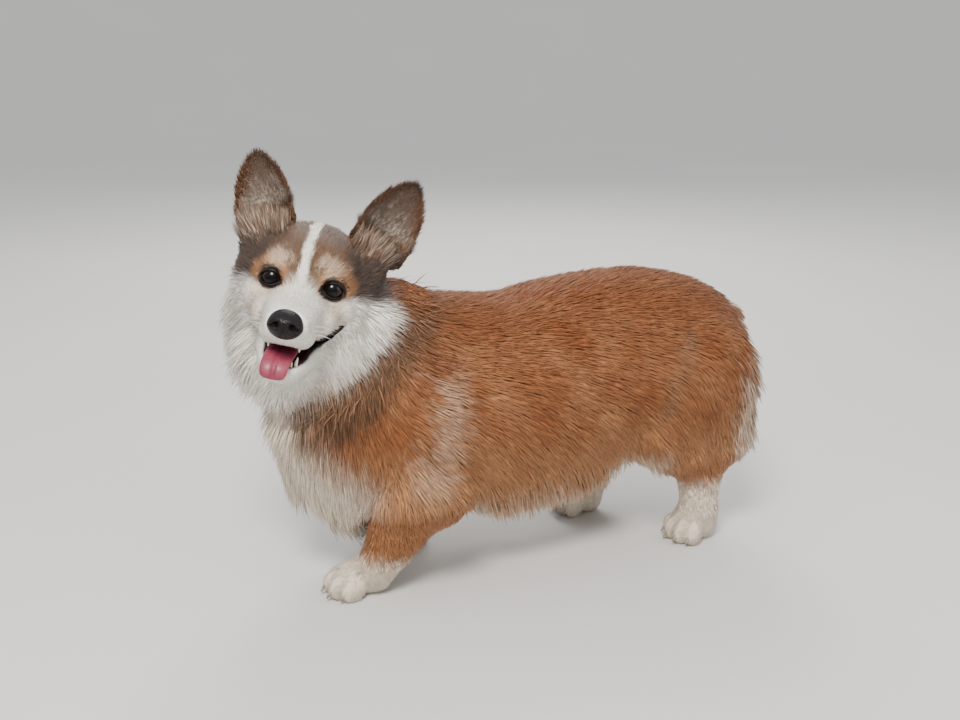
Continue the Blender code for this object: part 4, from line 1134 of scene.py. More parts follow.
def near_mouth(points):
    """Distance to the space of the mouth, up to 2 cm and below 0 inside it, for points near the muzzle."""
    gap = np.full(len(points), 0.02)
    h = local(points, HEAD)
    near = (h[:, 0] > -0.03) & (h[:, 0] < 0.07) & (h[:, 2] < -0.02) & (h[:, 2] > -0.10) & (np.abs(h[:, 1]) < 0.055)
    for i in np.nonzero(near)[0]:
        spot = Vector(points[i])
        away = MOUTH.find_nearest(spot)[3]
        gap[i] = -away if away < 0.012 and in_mouth(spot) else min(0.02, away)
    return gap


def make_skin(colours):
    skin = head_skin()
    combine(skin, trunk_skin(), "UNION")
    for name in PAWS:
        combine(skin, paw_skin(name), "UNION")
    largest_body(thin_out(skin, SKIN_TRIANGLES))
    paint(skin, colours)
    return skin


# ---------------------------------------------------------------- coat

# Place along a tuft and share of its width, for hair from the longest to the shortest
LONG_RINGS = ((0.0, 0.70), (0.36, 1.00), (0.72, 0.66))
MIDDLE_RINGS = ((0.0, 0.75), (0.52, 0.90))
SHORT_RINGS = ((0.0, 1.00),)
TUFT_FLATNESS = 0.34
SKIN_SHADING = 0.50          # share of a tuft's normals that is the skin's
ROOT_SINK = 0.0012           # how deep the roots are under the skin
SOLE_Z = 0.0045              # no hair grows on what faces down below this height
LIP_WIDTH = 0.0028           # bare skin round the open mouth
MOUTH_CLEARANCE = 0.0009     # between the open mouth and the hair around it
ROOT_SEED, PIECE_SEED, LOCK_SEED = 7, 100, 600
LENGTH_SPREAD = (0.72, 1.18)     # of single tufts, as shares of what is usual there
LIFT_SPREAD = (0.35, 1.15)
WIDTH_SPREAD = (0.70, 1.20)
PULL_SPREAD = (0.10, 0.60)       # how far a tip is drawn to its lock
LOCK_LEADERS = 0.10              # share of the tufts that the others gather round
LOCK_WIDTH = 0.45                # width of a lock at its tip, as a share of its width at the roots
STRAY = 0.12                     # angle by which hair strays from its lie
SPIN = 0.9                       # angle by which a tuft turns about its own length
LOCK_TONES, TUFT_TONES = 0.060, 0.075
BAKE_PATCH = 0.003           # size of a tuft on the unwrap


def scatter(mesh, share, chance):
    """Roots spread over the skin at the density that each place has: points and outward normals."""
    points, normals, corners = points_of(mesh), normals_of(mesh), triangles_of(mesh)
    a, b, c = points[corners[:, 0]], points[corners[:, 1]], points[corners[:, 2]]
    area = np.linalg.norm(np.cross(b - a, c - a), axis=1) / 2.0
    middle = (a + b + c) / 3.0
    weight = area * tuft_measure(zones(middle), DENSITY) * share
    total = np.cumsum(weight)
    picks = np.searchsorted(total, (np.arange(int(total[-1])) + chance.uniform(0, 1, int(total[-1]))))
    picks = np.minimum(picks, len(corners) - 1)
    u, v = chance.uniform(0, 1, (2, len(picks)))
    flip = u + v > 1.0
    u, v = np.where(flip, 1 - u, u)[:, None], np.where(flip, 1 - v, v)[:, None]
    i, j, k = corners[picks].T
    roots = points[i] * (1 - u - v) + points[j] * u + points[k] * v
    return roots, unit(normals[i] * (1 - u - v) + normals[j] * u + normals[k] * v)


def over_eyes(points, margin):
    """Whether each point is in front of the opening of an eye or within a margin around it."""
    over = np.zeros(len(points), bool)
    for _, side in SIDES:
        x, y, z = local(points, eye_frame(side)).T
        opening = (y / (LID_HALF_WIDTH + margin)) ** 2 + (z / (LID_HALF_HEIGHT + margin)) ** 2 < 1.0
        over |= opening & (x > 0.0) & (x < 0.03)
    return over


def over_nose(points, margin):
    return inside(points, HEAD, NOSE_SPOT, NOSE_HALF, margin) > 0.0


def bare(points, normals):
    """True where no hair grows: eyes, nose, lips and mouth, and the soles."""
    soles = (points[:, 2] < SOLE_Z) & (normals[:, 2] < -0.3)
    return soles | over_eyes(points, 0.0016) | over_nose(points, 0.0008) | (near_mouth(points) < LIP_WIDTH)


def tree_of(mesh):
    return BVHTree.FromPolygons([v.co for v in mesh.vertices], triangles_of(mesh).tolist())


def nearest(tree, points):
    """Nearest point of a surface to each point, and the outward normal there."""
    near, normal = np.empty((len(points), 3)), np.empty((len(points), 3))
    for i, point in enumerate(points):
        near[i], normal[i] = tree.find_nearest(Vector(point))[:2]
    return near, normal


def hair_course(skin_tree, roots, normals, lie, length, lift, loose, stations):
    """Points of each tuft from its root to its tip, and the skin's normal under the tip. The hair follows
    the skin, and long hair leaves it where it turns away and hangs a little. Without a tree it is straight."""
    course = [roots - normals * ROOT_SINK]
    normal = normals
    for t in stations[1:]:
        ahead = roots + lie * (length * t)[:, None]
        straight = ahead + normals * (lift * t)[:, None]
        if skin_tree is None:
            course.append(straight)
            continue
        ahead[:, 2] -= 0.10 * loose * length * t * t
        near, normal = nearest(skin_tree, ahead)
        away = np.maximum(0.0, ((ahead - near) * normal).sum(1))
        height = lift * t ** 1.3 + away * (0.12 + 0.68 * loose)
        bend = near + unit(normal + 0.25 * normals) * height[:, None] - straight
        limit = 0.002 + 0.45 * length * t
        course.append(straight + bend * np.minimum(1.0, limit / np.linalg.norm(bend, axis=1))[:, None])
    return course, normal


def gather(tips, bases, chance, pull):
    """Draws the tips of neighbouring tufts together, so that the coat parts into fine locks: the new tips,
    and the tuft that leads each one's lock."""
    leaders = np.nonzero(chance.uniform(0, 1, len(tips)) < LOCK_LEADERS)[0]
    tree = KDTree(len(leaders))
    for n, leader in enumerate(leaders):
        tree.insert(Vector(bases[leader]), n)
    tree.balance()
    own = np.array([leaders[tree.find(Vector(base))[1]] for base in bases])
    offset = tips[own] + (bases - bases[own]) * LOCK_WIDTH
    reach = np.linalg.norm(offset - tips, axis=1) / np.maximum(np.linalg.norm(tips - bases, axis=1), 1e-6)
    pull = pull * smooth(0.9, 0.4, reach)
    return tips + (offset - tips) * pull[:, None], own


def bake_map(skin):
    """Unwrap of the skin's own shape: a coarse copy laid flat, with a search tree over it."""
    proxy = bpy.data.objects.new("proxy", skin.data.copy())
    bpy.context.scene.collection.objects.link(proxy)
    thin_out(proxy, UNWRAP_TRIANGLES)
    bpy.context.view_layer.objects.active = proxy
    proxy.select_set(True)
    bpy.ops.object.mode_set(mode="EDIT")
    bpy.ops.mesh.select_all(action="SELECT")
    bpy.ops.uv.smart_project(angle_limit=math.radians(66.0), island_margin=0.004)
    bpy.ops.object.mode_set(mode="OBJECT")
    mesh = proxy.data
    flat = np.empty(len(mesh.loops) * 2)
    mesh.uv_layers.active.data.foreach_get("uv", flat)
    loops = np.array([polygon.loop_indices[:3] for polygon in mesh.polygons])
    corners = np.array([polygon.vertices[:3] for polygon in mesh.polygons])
    points = points_of(mesh)
    tree = BVHTree.FromPolygons(points.tolist(), corners.tolist())
    bpy.data.objects.remove(proxy)
    return tree, points[corners], flat.reshape(-1, 2)[loops]


def bake_places(unwrap, roots):
    """Place of each root on the unwrap."""
    tree, corners, flat = unwrap
    hits = [tree.find_nearest(Vector(root)) for root in roots]
    faces = np.array([hit[2] for hit in hits])
    spots = np.array([hit[0][:] for hit in hits])
    a, b, c = corners[faces, 0], corners[faces, 1], corners[faces, 2]
    area = np.linalg.norm(np.cross(b - a, c - a), axis=1)
    u = np.linalg.norm(np.cross(c - b, spots - b), axis=1) / area
    v = np.linalg.norm(np.cross(a - c, spots - c), axis=1) / area
    u, v = u[:, None], v[:, None]
    return flat[faces, 0] * u + flat[faces, 1] * v + flat[faces, 2] * (1 - u - v)


def soften_normals(mesh, faces_out):
    """Shades each tuft mostly like the skin that it grows from, so that the coat catches light evenly."""
    mesh.shade_smooth()
    own = normals_of(mesh)
    share = SKIN_SHADING * smooth(-0.35, 0.25, (own * faces_out).sum(1))[:, None]
    blend = unit(own * (1.0 - share) + faces_out * share)
    mesh.normals_split_custom_set_from_vertices(blend.tolist())


def tuft_mesh(name, course, widths, faces_out, shading, colours_along, places, chance):
    """One mesh of closed, flat, pointed tufts. course has a point for every ring and one for the tip,
    faces_out is the side that a tuft's flat turns to, and shading the normals that it is lit by."""
    count, rings = len(course[0]), len(course) - 1
    stride = rings * 3 + 1
    points = np.empty((count, stride, 3), np.float32)
    tones = np.empty((count, stride, 3), np.float32)
    flat = np.empty((count, stride, 2), np.float32)
    spin = chance.uniform(-SPIN, SPIN, count)[:, None]
    for k in range(rings):
        along = unit(course[k + 1] - course[max(k - 1, 0)])
        across = unit(np.cross(faces_out, along))
        over = np.cross(along, across)
        across = across * np.cos(spin) + over * np.sin(spin)
        over = np.cross(along, across)
        half = (widths[k] / 2.0)[:, None]
        for n, (side, rise) in enumerate(((-1.0, 0.0), (1.0, 0.0), (0.0, 2.0 * TUFT_FLATNESS))):
            points[:, 3 * k + n] = course[k] + across * (half * side) + over * (half * rise)
            flat[:, 3 * k + n] = places + BAKE_PATCH * np.array((side / 2.0, k / rings - 0.5))
        tones[:, 3 * k:3 * k + 3] = colours_along[k][:, None]
    points[:, -1] = course[-1]
    tones[:, -1] = colours_along[-1]
    flat[:, -1] = places + BAKE_PATCH * np.array((0.0, 0.5))
    points[:, :, 2] = np.maximum(points[:, :, 2], 0.0004)
    pattern = [(0, 2, 1)]
    for k in range(rings - 1):
        for i in range(3):
            j = (i + 1) % 3
            low, high = 3 * k, 3 * k + 3
            pattern += [(low + i, low + j, high + j), (low + i, high + j, high + i)]
    last = 3 * (rings - 1)
    pattern += [(last + i, last + (i + 1) % 3, stride - 1) for i in range(3)]
    pattern = np.array(pattern, np.int32)
    corners = (pattern[None] + (np.arange(count, dtype=np.int32) * stride)[:, None, None]).reshape(-1)
    total = len(corners) // 3
    mesh = bpy.data.meshes.new(name)
    mesh.vertices.add(count * stride)
    mesh.vertices.foreach_set("co", points.ravel())
    mesh.loops.add(len(corners))
    mesh.loops.foreach_set("vertex_index", corners)
    mesh.polygons.add(total)
    mesh.polygons.foreach_set("loop_start", np.arange(total, dtype=np.int32) * 3)
    mesh.polygons.foreach_set("loop_total", np.full(total, 3, np.int32))
    mesh.update(calc_edges=True)
    soften_normals(mesh, np.repeat(shading, stride, axis=0))
    paint_attribute(mesh, tones.reshape(-1, 3))
    uv = mesh.uv_layers.new(name="OFBake")
    uv.data.foreach_set("uv", np.clip(flat, 0.0, 1.0).reshape(-1, 2)[corners].ravel())
    obj = bpy.data.objects.new(name, mesh)
    bpy.context.scene.collection.objects.link(obj)
    return obj


def coat_pieces(points, zone):
    """Name, slot and rings of each piece of the coat, and the roots that it claims from the pieces after it."""
    x, y, z = points.T
    head, ear_root = zone["head"] > 0.5, zone["ear_root"] > 0.5
    left, left_of_head = y > 0, local(points, HEAD)[:, 1] > 0
    front, middle = x > 0.03, x > -0.10
    cheek, leg = head & (zone["cheek"] > 0.3), zone["leg"] > 0.5
    return (
        ("coat_paws", "paw", SHORT_RINGS, (z < 0.042) & (zone["head"] < 0.5)),
        ("coat_ear_left", "ear_coat", SHORT_RINGS, (zone["ear_left"] > 0.5) | (ear_root & left_of_head)),
        ("coat_ear_right", "ear_coat", SHORT_RINGS, (zone["ear_right"] > 0.5) | ear_root),
        ("coat_muzzle", "head_coat", SHORT_RINGS, head & (zone["muzzle"] > 0.5)),
        ("coat_face", "head_coat", SHORT_RINGS, head & (zone["face"] > 0.5) & (zone["ears"] < 0.5)),
        ("coat_cheek_left", "head_coat", LONG_RINGS, cheek & left_of_head),
        ("coat_cheek_right", "head_coat", LONG_RINGS, cheek),
        ("coat_crown", "head_coat", MIDDLE_RINGS, head),
        ("coat_forelegs", "leg_coat", MIDDLE_RINGS, leg & front),
        ("coat_hind_legs", "leg_coat", MIDDLE_RINGS, leg),
        ("coat_neck", "red_coat", MIDDLE_RINGS, zone["neck"] > 0.5),
        ("coat_bib", "white_coat", MIDDLE_RINGS, zone["bib"] > 0.5),
        ("coat_breeches", "red_coat", LONG_RINGS, zone["breeches"] > 0.3),
        ("coat_belly", "white_coat", LONG_RINGS, zone["belly"] > 0.5),
        ("coat_shoulder_left", "red_coat", MIDDLE_RINGS, front & left),
        ("coat_shoulder_right", "red_coat", MIDDLE_RINGS, front),
        ("coat_flank_left", "red_coat", MIDDLE_RINGS, middle & left),
        ("coat_flank_right", "red_coat", MIDDLE_RINGS, middle),
        ("coat_thigh_left", "red_coat", MIDDLE_RINGS, left),
        ("coat_thigh_right", "red_coat", MIDDLE_RINGS, np.ones(len(points), bool)),
    )


def hair_tones(roots, zone, colours, stations, own, chance, lock_chance):
    """Colour of each tuft at its stations: no two locks or tufts are quite alike, roots are darker as painted shade
    deep in the coat, and tips are darker.
    """
    colour, dark_tips = markings(roots, zone, colours)
    locks = lock_chance.normal(1.0, LOCK_TONES, len(roots))[own]
    single = 1.0 + chance.normal(0.0, TUFT_TONES, len(roots)) * (1.0 + 2.2 * dark_tips)
    colour = np.clip(colour * (locks * single)[:, None], 0.0, 1.0)
    tones = []
    for t in stations:
        # painted shade: each tuft darker towards its root, deep in the coat
        tone = colour * (0.86 + 0.17 * min(1.0, t / 0.5))
        tones.append(np.clip(mix(tone, mix(tone, np.array(colours["dark"]), dark_tips), smooth(0.35, 1.0, t)), 0, 1))
    return tones


def clear_of_face(course):
    """Whether each tuft stays clear of the eyes, the nose and the open mouth."""
    clear = np.ones(len(course[0]), bool)
    for point in course[1:]:
        clear &= ~(over_eyes(point, 0.0002) | over_nose(point, 0.0003))
    for start, end in zip(course, course[1:]):
        for t in (0.35, 0.70, 1.0):
            clear &= near_mouth(start + (end - start) * t) > MOUTH_CLEARANCE
    return clear


def coat_part(n, name, rings, skin_tree, unwrap, roots, normals, colours, share, material):
    """One piece of the coat, from the roots that belong to it."""
    chance = np.random.default_rng(PIECE_SEED + n)
    zone = zones(roots)
    count = len(roots)
    lie = coat_lie(roots, normals, zone)
    stray = chance.normal(0.0, STRAY, count)[:, None]
    lie = unit(lie * np.cos(stray) + np.cross(normals, lie) * np.sin(stray))
    length, lift = coat_length(roots, zone)
    length = length * share * chance.uniform(*LENGTH_SPREAD, count)
    lift = lift * chance.uniform(*LIFT_SPREAD, count)
    width = tuft_measure(zone, WIDTH) * chance.uniform(*WIDTH_SPREAD, count)
    loose = smooth(0.020, 0.034, length)
    stations = [t for t, _ in rings] + [1.0]
    tree = None if "ear" in name else skin_tree
    course, tip_normals = hair_course(tree, roots, normals, lie, length, lift, loose, stations)
    pull = chance.uniform(*PULL_SPREAD, count) * (1.0 - 0.45 * zone["neck"])
    tips, own = gather(course[-1], roots, chance, pull)
    shift = tips - course[-1]
    course = [point + shift * t ** 2 for point, t in zip(course, stations)]
    tones = hair_tones(roots, zone, colours, stations, own, chance, np.random.default_rng(LOCK_SEED + n))
    keep = clear_of_face(course)
    obj = tuft_mesh(name, [point[keep] for point in course], [(width * broad)[keep] for _, broad in rings],
                    normals[keep], unit(normals + tip_normals)[keep], [tone[keep] for tone in tones],
                    bake_places(unwrap, roots)[keep], chance)
    return finish_piece(obj, name, material)


def make_coat(skin_mesh, colours, sizes):
    """All the pieces of the coat, rooted in the skin before it was moved to the solids."""
    roots, normals = scatter(skin_mesh.data, sizes.coat_density, np.random.default_rng(ROOT_SEED))
    grown = ~bare(roots, normals)
    roots, normals = roots[grown], normals[grown]
    skin_tree = tree_of(skin_mesh.data)
    unwrap = bake_map(skin_mesh)
    material = hair_material()
    free = np.ones(len(roots), bool)
    for n, (name, slot_name, rings, claimed) in enumerate(coat_pieces(roots, zones(roots))):
        chosen = free & claimed
        free &= ~claimed
        if chosen.any():
            coat_part(n, name, rings, skin_tree, unwrap, roots[chosen], normals[chosen], colours,
                      sizes.coat_length, material)


# ---------------------------------------------------------------- eyes, nose, mouth and claws

def make_eye(word, side, colours):
    """Eyeball with a raised cornea, its pupil towards what is in front of the head."""
    place = eye_frame(side)
    bm = bmesh.new()
    bmesh.ops.create_uvsphere(bm, u_segments=64, v_segments=40, radius=EYE_RADIUS - 0.0002, matrix=place @ AIM_X)
    obj = object_from(bm)
    gaze = np.array((HEAD.to_3x3() @ Vector((1.0, 0.05 * side, 0.02))).normalized())
    points = points_of(obj.data)
    centre = np.array(place.translation)
    angle = np.arccos(np.clip(unit(points - centre) @ gaze, -1.0, 1.0))
    bulge = 1.0 + 0.045 * smooth(math.radians(52), math.radians(22), angle)
    set_points(obj.data, centre + (points - centre) * bulge[:, None])
    ring = obj.data.attributes.new("ring", "FLOAT", "POINT")
    ring.data.foreach_set("value", (angle / math.radians(66)).astype(np.float32))
    return finish_piece(obj, "eyeball_" + word, eye_material(colours["iris"]), ("eye_" + word,))


def closed_tube(bm, centres, radii, sections):
    """A tube round a closed row of points: each section is given by two directions."""
    rings = []
    for centre, radius, (across, over) in zip(centres, radii, sections):
        ring = bmesh.ops.create_circle(bm, segments=10, radius=1.0)["verts"]
        for v in ring:
            v.co = centre + across * (radius[0] * v.co.x) + over * (radius[1] * v.co.y)
        rings.append(ring)
    for near, far in zip(rings, rings[1:] + rings[:1]):
        bmesh.ops.bridge_loops(bm, edges=ring_edges(near, far))


def make_lids(word, side, colours):
    """Dark rim of the lids round the almond-shaped opening."""
    place = eye_frame(side)
    turn = place.to_3x3()
    reach = EYE_RADIUS + 0.0008
    centres, sections, radii = [], [], []
    count = 56
    for k in range(count):
        angle = 2 * math.pi * k / count
        y = LID_HALF_WIDTH * math.cos(angle)
        z = LID_HALF_HEIGHT * math.sin(angle) * (1.0 - 0.16 * math.cos(angle) ** 2)
        spot = Vector((math.sqrt(max(reach ** 2 - y * y - z * z, 1e-6)), y, z))
        out = spot.normalized()
        edge = Vector((0.0, -LID_HALF_WIDTH * math.sin(angle), LID_HALF_HEIGHT * math.cos(angle))).normalized()
        centres.append(place @ spot)
        sections.append((turn @ edge.cross(out).normalized(), turn @ out))
        corner = abs(math.cos(angle)) ** 8
        radii.append((0.0009 + 0.0010 * corner + 0.0003 * max(0.0, math.sin(angle)), 0.0008))
    bm = bmesh.new()
    closed_tube(bm, centres, radii, sections)
    material = leather_material("lid_leather_" + word, colours["leather"], 1400.0, 0.25, 0.38)
    return finish_piece(object_from(bm), "eyelids_" + word, material)


def make_nose(colours):
    """Nose leather: a rounded pad with comma-shaped nostrils and a groove down its middle."""
    bm = bmesh.new()
    egg(bm, NOSE_SPOT, NOSE_HALF, matrix=HEAD, detail=6)
    obj = object_from(bm)
    points = local(points_of(obj.data), HEAD)
    x, y, z = (points - np.array(NOSE_SPOT)).T
    front = smooth(-0.002, 0.006, x)
    top = smooth(0.002, 0.010, z)
    wide = np.abs(y)
    groove = 0.0015 * np.exp(-(y / 0.0011) ** 2) * smooth(0.004, -0.004, z) * front
    hole = np.exp(-((wide - 0.0066) / 0.0024) ** 2 - ((z + 0.0006) / 0.0021) ** 2)
    slit = np.exp(-((wide - 0.0108) / 0.0028) ** 2 - ((z + 0.0022) / 0.0009) ** 2)
    points[:, 0] -= groove + (0.0062 * hole + 0.0030 * slit) * front
    points[:, 0] -= 0.0020 * top * front
    points[:, 1] *= 1.0 + 0.06 * smooth(0.004, -0.004, z)
    set_points(obj.data, outward(points, HEAD) + np.array(HEAD.translation))
    return finish_piece(obj, "nose_pad", leather_material("nose_leather", colours["leather"], 950.0, 0.50, 0.31),
                        ("nose",))


def make_tongue(colours):
    """Tongue that lies in the lower jaw and hangs over its lip, with a furrow along its middle."""
    course = (
        ((-0.004, 0.000, -0.0010), 0.0110, 0.0024, 0.0024), ((0.016, -0.001, 0.0020), 0.0130, 0.0026, 0.0026),
        ((0.031, -0.002, 0.0045), 0.0132, 0.0028, 0.0028), ((0.045, -0.003, 0.0050), 0.0128, 0.0028, 0.0028),
        ((0.0540, -0.004, 0.0025), 0.0126, 0.0026, 0.0026), ((0.0600, -0.004, -0.0040), 0.0120, 0.0024, 0.0024),
        ((0.0615, -0.004, -0.0085), 0.0088, 0.0020, 0.0020),
    )
    bm = bmesh.new()
    loft(bm, course, hint=(0.3, 0.0, 1.0), matrix=JAW, sides=32, square=2.6)
    obj = object_from(bm)
    soften = obj.modifiers.new("soften", "SUBSURF")
    soften.levels = soften.render_levels = 2
    apply_modifiers(obj)
    points = local(points_of(obj.data), JAW)
    normals = local(normals_of(obj.data) + np.array(JAW.translation), JAW)
    middle = -0.004 * smooth(0.0, 0.05, points[:, 0])
    furrow = 0.0012 * np.exp(-((points[:, 1] - middle) / 0.0018) ** 2) * smooth(0.1, 0.6, normals[:, 0] + normals[:, 2])
    points[:, 2] -= furrow
    points[:, 0] -= furrow * smooth(0.05, 0.058, points[:, 0])
    set_points(obj.data, outward(points, JAW) + np.array(JAW.translation))
    return finish_piece(obj, "tongue_body", wet_material("tongue_flesh", colours["mouth"]), ("tongue",))


def make_teeth():
    """Canines and incisors of the lower jaw, and the tips of the upper canines."""
    bm = bmesh.new()
    for _, side in SIDES:
        spots = [((0.0395, 0.0125 * side, 0.000), 0.0021, 0.0110, 4.0),
                 ((0.0435, 0.0090 * side, -0.001), 0.0014, 0.0060, 8.0),
                 ((0.0455, 0.0062 * side, -0.001), 0.0012, 0.0055, 8.0),
                 ((0.0465, 0.0032 * side, -0.001), 0.0012, 0.0050, 8.0)]
        for spot, radius, height, lean in spots:
            bmesh.ops.create_cone(bm, cap_ends=True, segments=14, radius1=radius, radius2=radius * 0.25, depth=height,
                                  matrix=JAW @ tilted(spot, pitch=lean, roll=-7.0 * side))
        bmesh.ops.create_cone(bm, cap_ends=True, segments=14, radius1=0.0006, radius2=0.0020, depth=0.0100,
                              matrix=HEAD @ tilted((0.0430, 0.0135 * side, -0.0505), pitch=4.0))
    material = horn_material("tooth_enamel", (0.62, 0.56, 0.42), (0.80, 0.76, 0.66), 0.25)
    return finish_piece(object_from(bm), "teeth", material)


def make_claws():
    """Four blunt, curved claws on each paw."""
    bm = bmesh.new()
    for name in PAWS:
        for centre, sizes, spread in toes(name):
            turn = math.radians(spread)
            out = Vector((math.cos(turn), math.sin(turn), 0.0))
            stations = []
            for t, radius in ((0.0, 0.0022), (0.35, 0.0020), (0.7, 0.0015), (1.0, 0.0008)):
                spot = centre + out * (sizes[0] - 0.0052 + 0.0056 * t) + Vector((0, 0, -0.0012 - 0.0060 * t * t))
                stations.append((tuple(spot), radius * 0.8, radius, radius))
            loft(bm, stations, matrix=paw_frame(name), sides=12, square=2.0)
    material = horn_material("claw_horn", (0.20, 0.155, 0.125), (0.42, 0.35, 0.29), 0.38)
    return finish_piece(object_from(bm), "claws", material)


def make_whiskers():
    """Thin bristles of the lips."""
    chance = np.random.default_rng(31)
    roots, ends = [], []
    for _, side in SIDES:
        for row in range(3):
            for k in range(3):
                root = Vector((0.032 + 0.006 * k, 0.0225 * side, -0.031 - 0.0035 * row))
                out = Vector((-0.30 - 0.12 * k, (1.0 + 0.1 * row) * side, -0.05 - 0.06 * row)).normalized()
                roots.append(HEAD @ root)
                ends.append(HEAD @ (root + out * chance.uniform(0.016, 0.026)))
    roots, ends = np.array(roots), np.array(ends)
    course = [roots, roots + (ends - roots) * 0.4 + np.array((0, 0, 0.0012)),
              roots + (ends - roots) * 0.75 + np.array((0, 0, 0.0008)), ends - np.array((0, 0, 0.0015))]
    count = len(roots)
    tone = np.full((count, 3), 0.75)
    tone[::3] = 0.05
    widths = [np.full(count, width) for width in (0.00045, 0.00038, 0.00026)]
    upright = np.tile((0.0, 0.0, 1.0), (count, 1))
    obj = tuft_mesh("whiskers", course, widths, upright, upright, [tone] * 4, np.full((count, 2), 0.5), chance)
    return finish_piece(obj, "whiskers", hair_material())


# ---------------------------------------------------------------- stage

CAMERA_PLACE = Vector((0.4572, 1.0932, 0.5450))
CAMERA_HEADING = Vector((-0.3518, -0.9361, 0.0))
CAMERA_DIP = math.radians(16.0)
CAMERA_LENS = 45.0           # millimetres, like the sensor's width
CAMERA_SENSOR = 36.0


def area_light(name, place, target, size, power, colour):
    light = bpy.data.lights.new(name, "AREA")
    light.shape = "DISK"
    light.size = size
    light.energy = power
    light.color = colour
    obj = bpy.data.objects.new(name, light)
    obj.location = place
    obj.rotation_euler = (Vector(target) - Vector(place)).to_track_quat("-Z", "Y").to_euler()
    bpy.context.scene.collection.objects.link(obj)


def make_stage(size):
    """Pale studio floor, soft lights and the camera."""
    bm = bmesh.new()
    profile = ((0.02, 0.0), (0.30, 0.0), (0.55, 0.0), (0.62, 0.004), (0.70, 0.022), (0.78, 0.060), (0.85, 0.120),
               (0.90, 0.200), (0.92, 0.300))
    row = [bm.verts.new((across * size / 2, 0.0, height * size / 2)) for across, height in profile]
    edges = [bm.edges.new(two) for two in zip(row, row[1:])]
    bmesh.ops.spin(bm, geom=row + edges, axis=(0, 0, 1), angle=2 * math.pi, steps=96, use_merge=True)
    rim = [e for e in bm.edges if e.is_boundary and max(v.co.xy.length for v in e.verts) < 0.03 * size]
    bmesh.ops.contextual_create(bm, geom=rim)
    floor = object_from(bm, "studio_floor")
    if floor.data.polygons[0].normal.z < 0:
        floor.data.flip_normals()
    floor.data.shade_smooth()
    made, tree, shader = shader_of("studio_floor")
    tree.links.new(ramp(tree, noise(tree, 1.2, 3.0), ((0.3, (0.60, 0.59, 0.57)), (0.7, (0.63, 0.62, 0.60)))),
                   shader.inputs["Base Color"])
    shader.inputs["Roughness"].default_value = 0.85
    floor.data.materials.append(made)
    world = bpy.context.scene.world or bpy.data.worlds.new("studio")
    bpy.context.scene.world = world
    world.use_nodes = True
    sky = world.node_tree.nodes["Background"]
    sky.inputs["Color"].default_value = (0.95, 0.97, 1.0, 1.0)
    sky.inputs["Strength"].default_value = 0.95
    middle = (0.0, 0.0, 0.2)
    area_light("key", (0.75, 1.30, 1.75), middle, 0.7, 66.0, (1.0, 0.96, 0.90))
    area_light("fill", (-1.70, 1.60, 1.00), middle, 1.6, 16.0, (0.96, 0.98, 1.0))
    area_light("back", (-0.60, -1.70, 1.60), middle, 1.2, 34.0, (1.0, 0.98, 0.95))
    lens = bpy.data.cameras.new("camera")
    lens.lens = CAMERA_LENS
    lens.sensor_width = CAMERA_SENSOR
    lens.clip_start = 0.01
    camera = bpy.data.objects.new("camera", lens)
    aim = CAMERA_HEADING.normalized() * math.cos(CAMERA_DIP) - Vector((0.0, 0.0, math.sin(CAMERA_DIP)))
    camera.location = MOVE @ CAMERA_PLACE
    camera.rotation_euler = aim.to_track_quat("-Z", "Y").to_euler()
    bpy.context.scene.collection.objects.link(camera)
    bpy.context.scene.camera = camera


# ---------------------------------------------------------------- operators and panel

def colours_now():
    group = bpy.context.scene.corgi_colours
    return {name: tuple(getattr(group, name)) for name in CorgiColours.__annotations__}


class CORGI_OT_coat(bpy.types.Operator):
    """Builds the skin and grows the coat on it"""
    bl_idname = "corgi.coat"
    bl_label = "Skin and coat"

    def execute(self, context):
        colours = colours_now()
        skin = make_skin(colours)
        make_coat(skin, colours, context.scene.corgi_sizes)
        finish_piece(skin, "skin", skin_material(), FLESH)
        return {"FINISHED"}


class CORGI_OT_eyes(bpy.types.Operator):
    """Makes both eyes with their lids"""
    bl_idname = "corgi.eyes"
    bl_label = "Eyes"

    def execute(self, context):
        colours = colours_now()
        for word, side in SIDES:
            make_eye(word, side, colours)
            make_lids(word, side, colours)
        return {"FINISHED"}


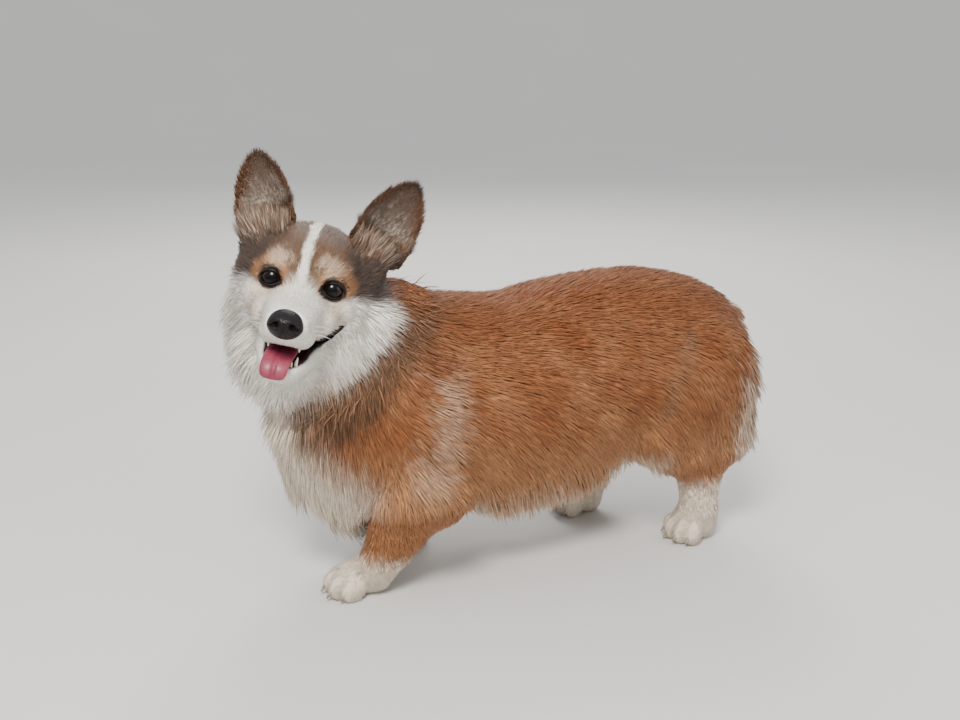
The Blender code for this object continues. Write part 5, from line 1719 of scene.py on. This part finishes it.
class CORGI_OT_nose(bpy.types.Operator):
    """Makes the nose and the whiskers"""
    bl_idname = "corgi.nose"
    bl_label = "Nose and whiskers"

    def execute(self, context):
        make_nose(colours_now())
        make_whiskers()
        return {"FINISHED"}


class CORGI_OT_mouth(bpy.types.Operator):
    """Makes the tongue and the teeth"""
    bl_idname = "corgi.mouth"
    bl_label = "Tongue and teeth"

    def execute(self, context):
        make_tongue(colours_now())
        make_teeth()
        return {"FINISHED"}


class CORGI_OT_claws(bpy.types.Operator):
    """Makes the claws of all four paws"""
    bl_idname = "corgi.claws"
    bl_label = "Claws"

    def execute(self, context):
        make_claws()
        return {"FINISHED"}


class CORGI_OT_stage(bpy.types.Operator):
    """Makes the studio floor, the lights and the camera"""
    bl_idname = "corgi.stage"
    bl_label = "Stage"

    def execute(self, context):
        make_stage(context.scene.corgi_sizes.floor_size)
        return {"FINISHED"}


class CORGI_PT_panel(bpy.types.Panel):
    """Colours, sizes and pieces of the corgi"""
    bl_label = "Corgi"
    bl_idname = "CORGI_PT_panel"
    bl_space_type = "VIEW_3D"
    bl_region_type = "UI"
    bl_category = "Corgi"

    def draw(self, context):
        for group in (context.scene.corgi_colours, context.scene.corgi_sizes):
            for name in group.__annotations__:
                self.layout.prop(group, name)
        for operator in OPERATORS:
            self.layout.operator(operator.bl_idname)


OPERATORS = (CORGI_OT_coat, CORGI_OT_eyes, CORGI_OT_nose, CORGI_OT_mouth, CORGI_OT_claws, CORGI_OT_stage)
CLASSES = (CorgiColours, CorgiSizes) + OPERATORS + (CORGI_PT_panel,)


def register():
    for item in CLASSES:
        bpy.utils.register_class(item)
    bpy.types.Scene.corgi_colours = bpy.props.PointerProperty(type=CorgiColours)
    bpy.types.Scene.corgi_sizes = bpy.props.PointerProperty(type=CorgiSizes)


def unregister():
    del bpy.types.Scene.corgi_sizes
    del bpy.types.Scene.corgi_colours
    for item in reversed(CLASSES):
        bpy.utils.unregister_class(item)


def main():
    register()
    bpy.ops.corgi.coat()
    bpy.ops.corgi.eyes()
    bpy.ops.corgi.nose()
    bpy.ops.corgi.mouth()
    bpy.ops.corgi.claws()
    bpy.ops.corgi.stage()


if __name__ == "__main__":
    main()
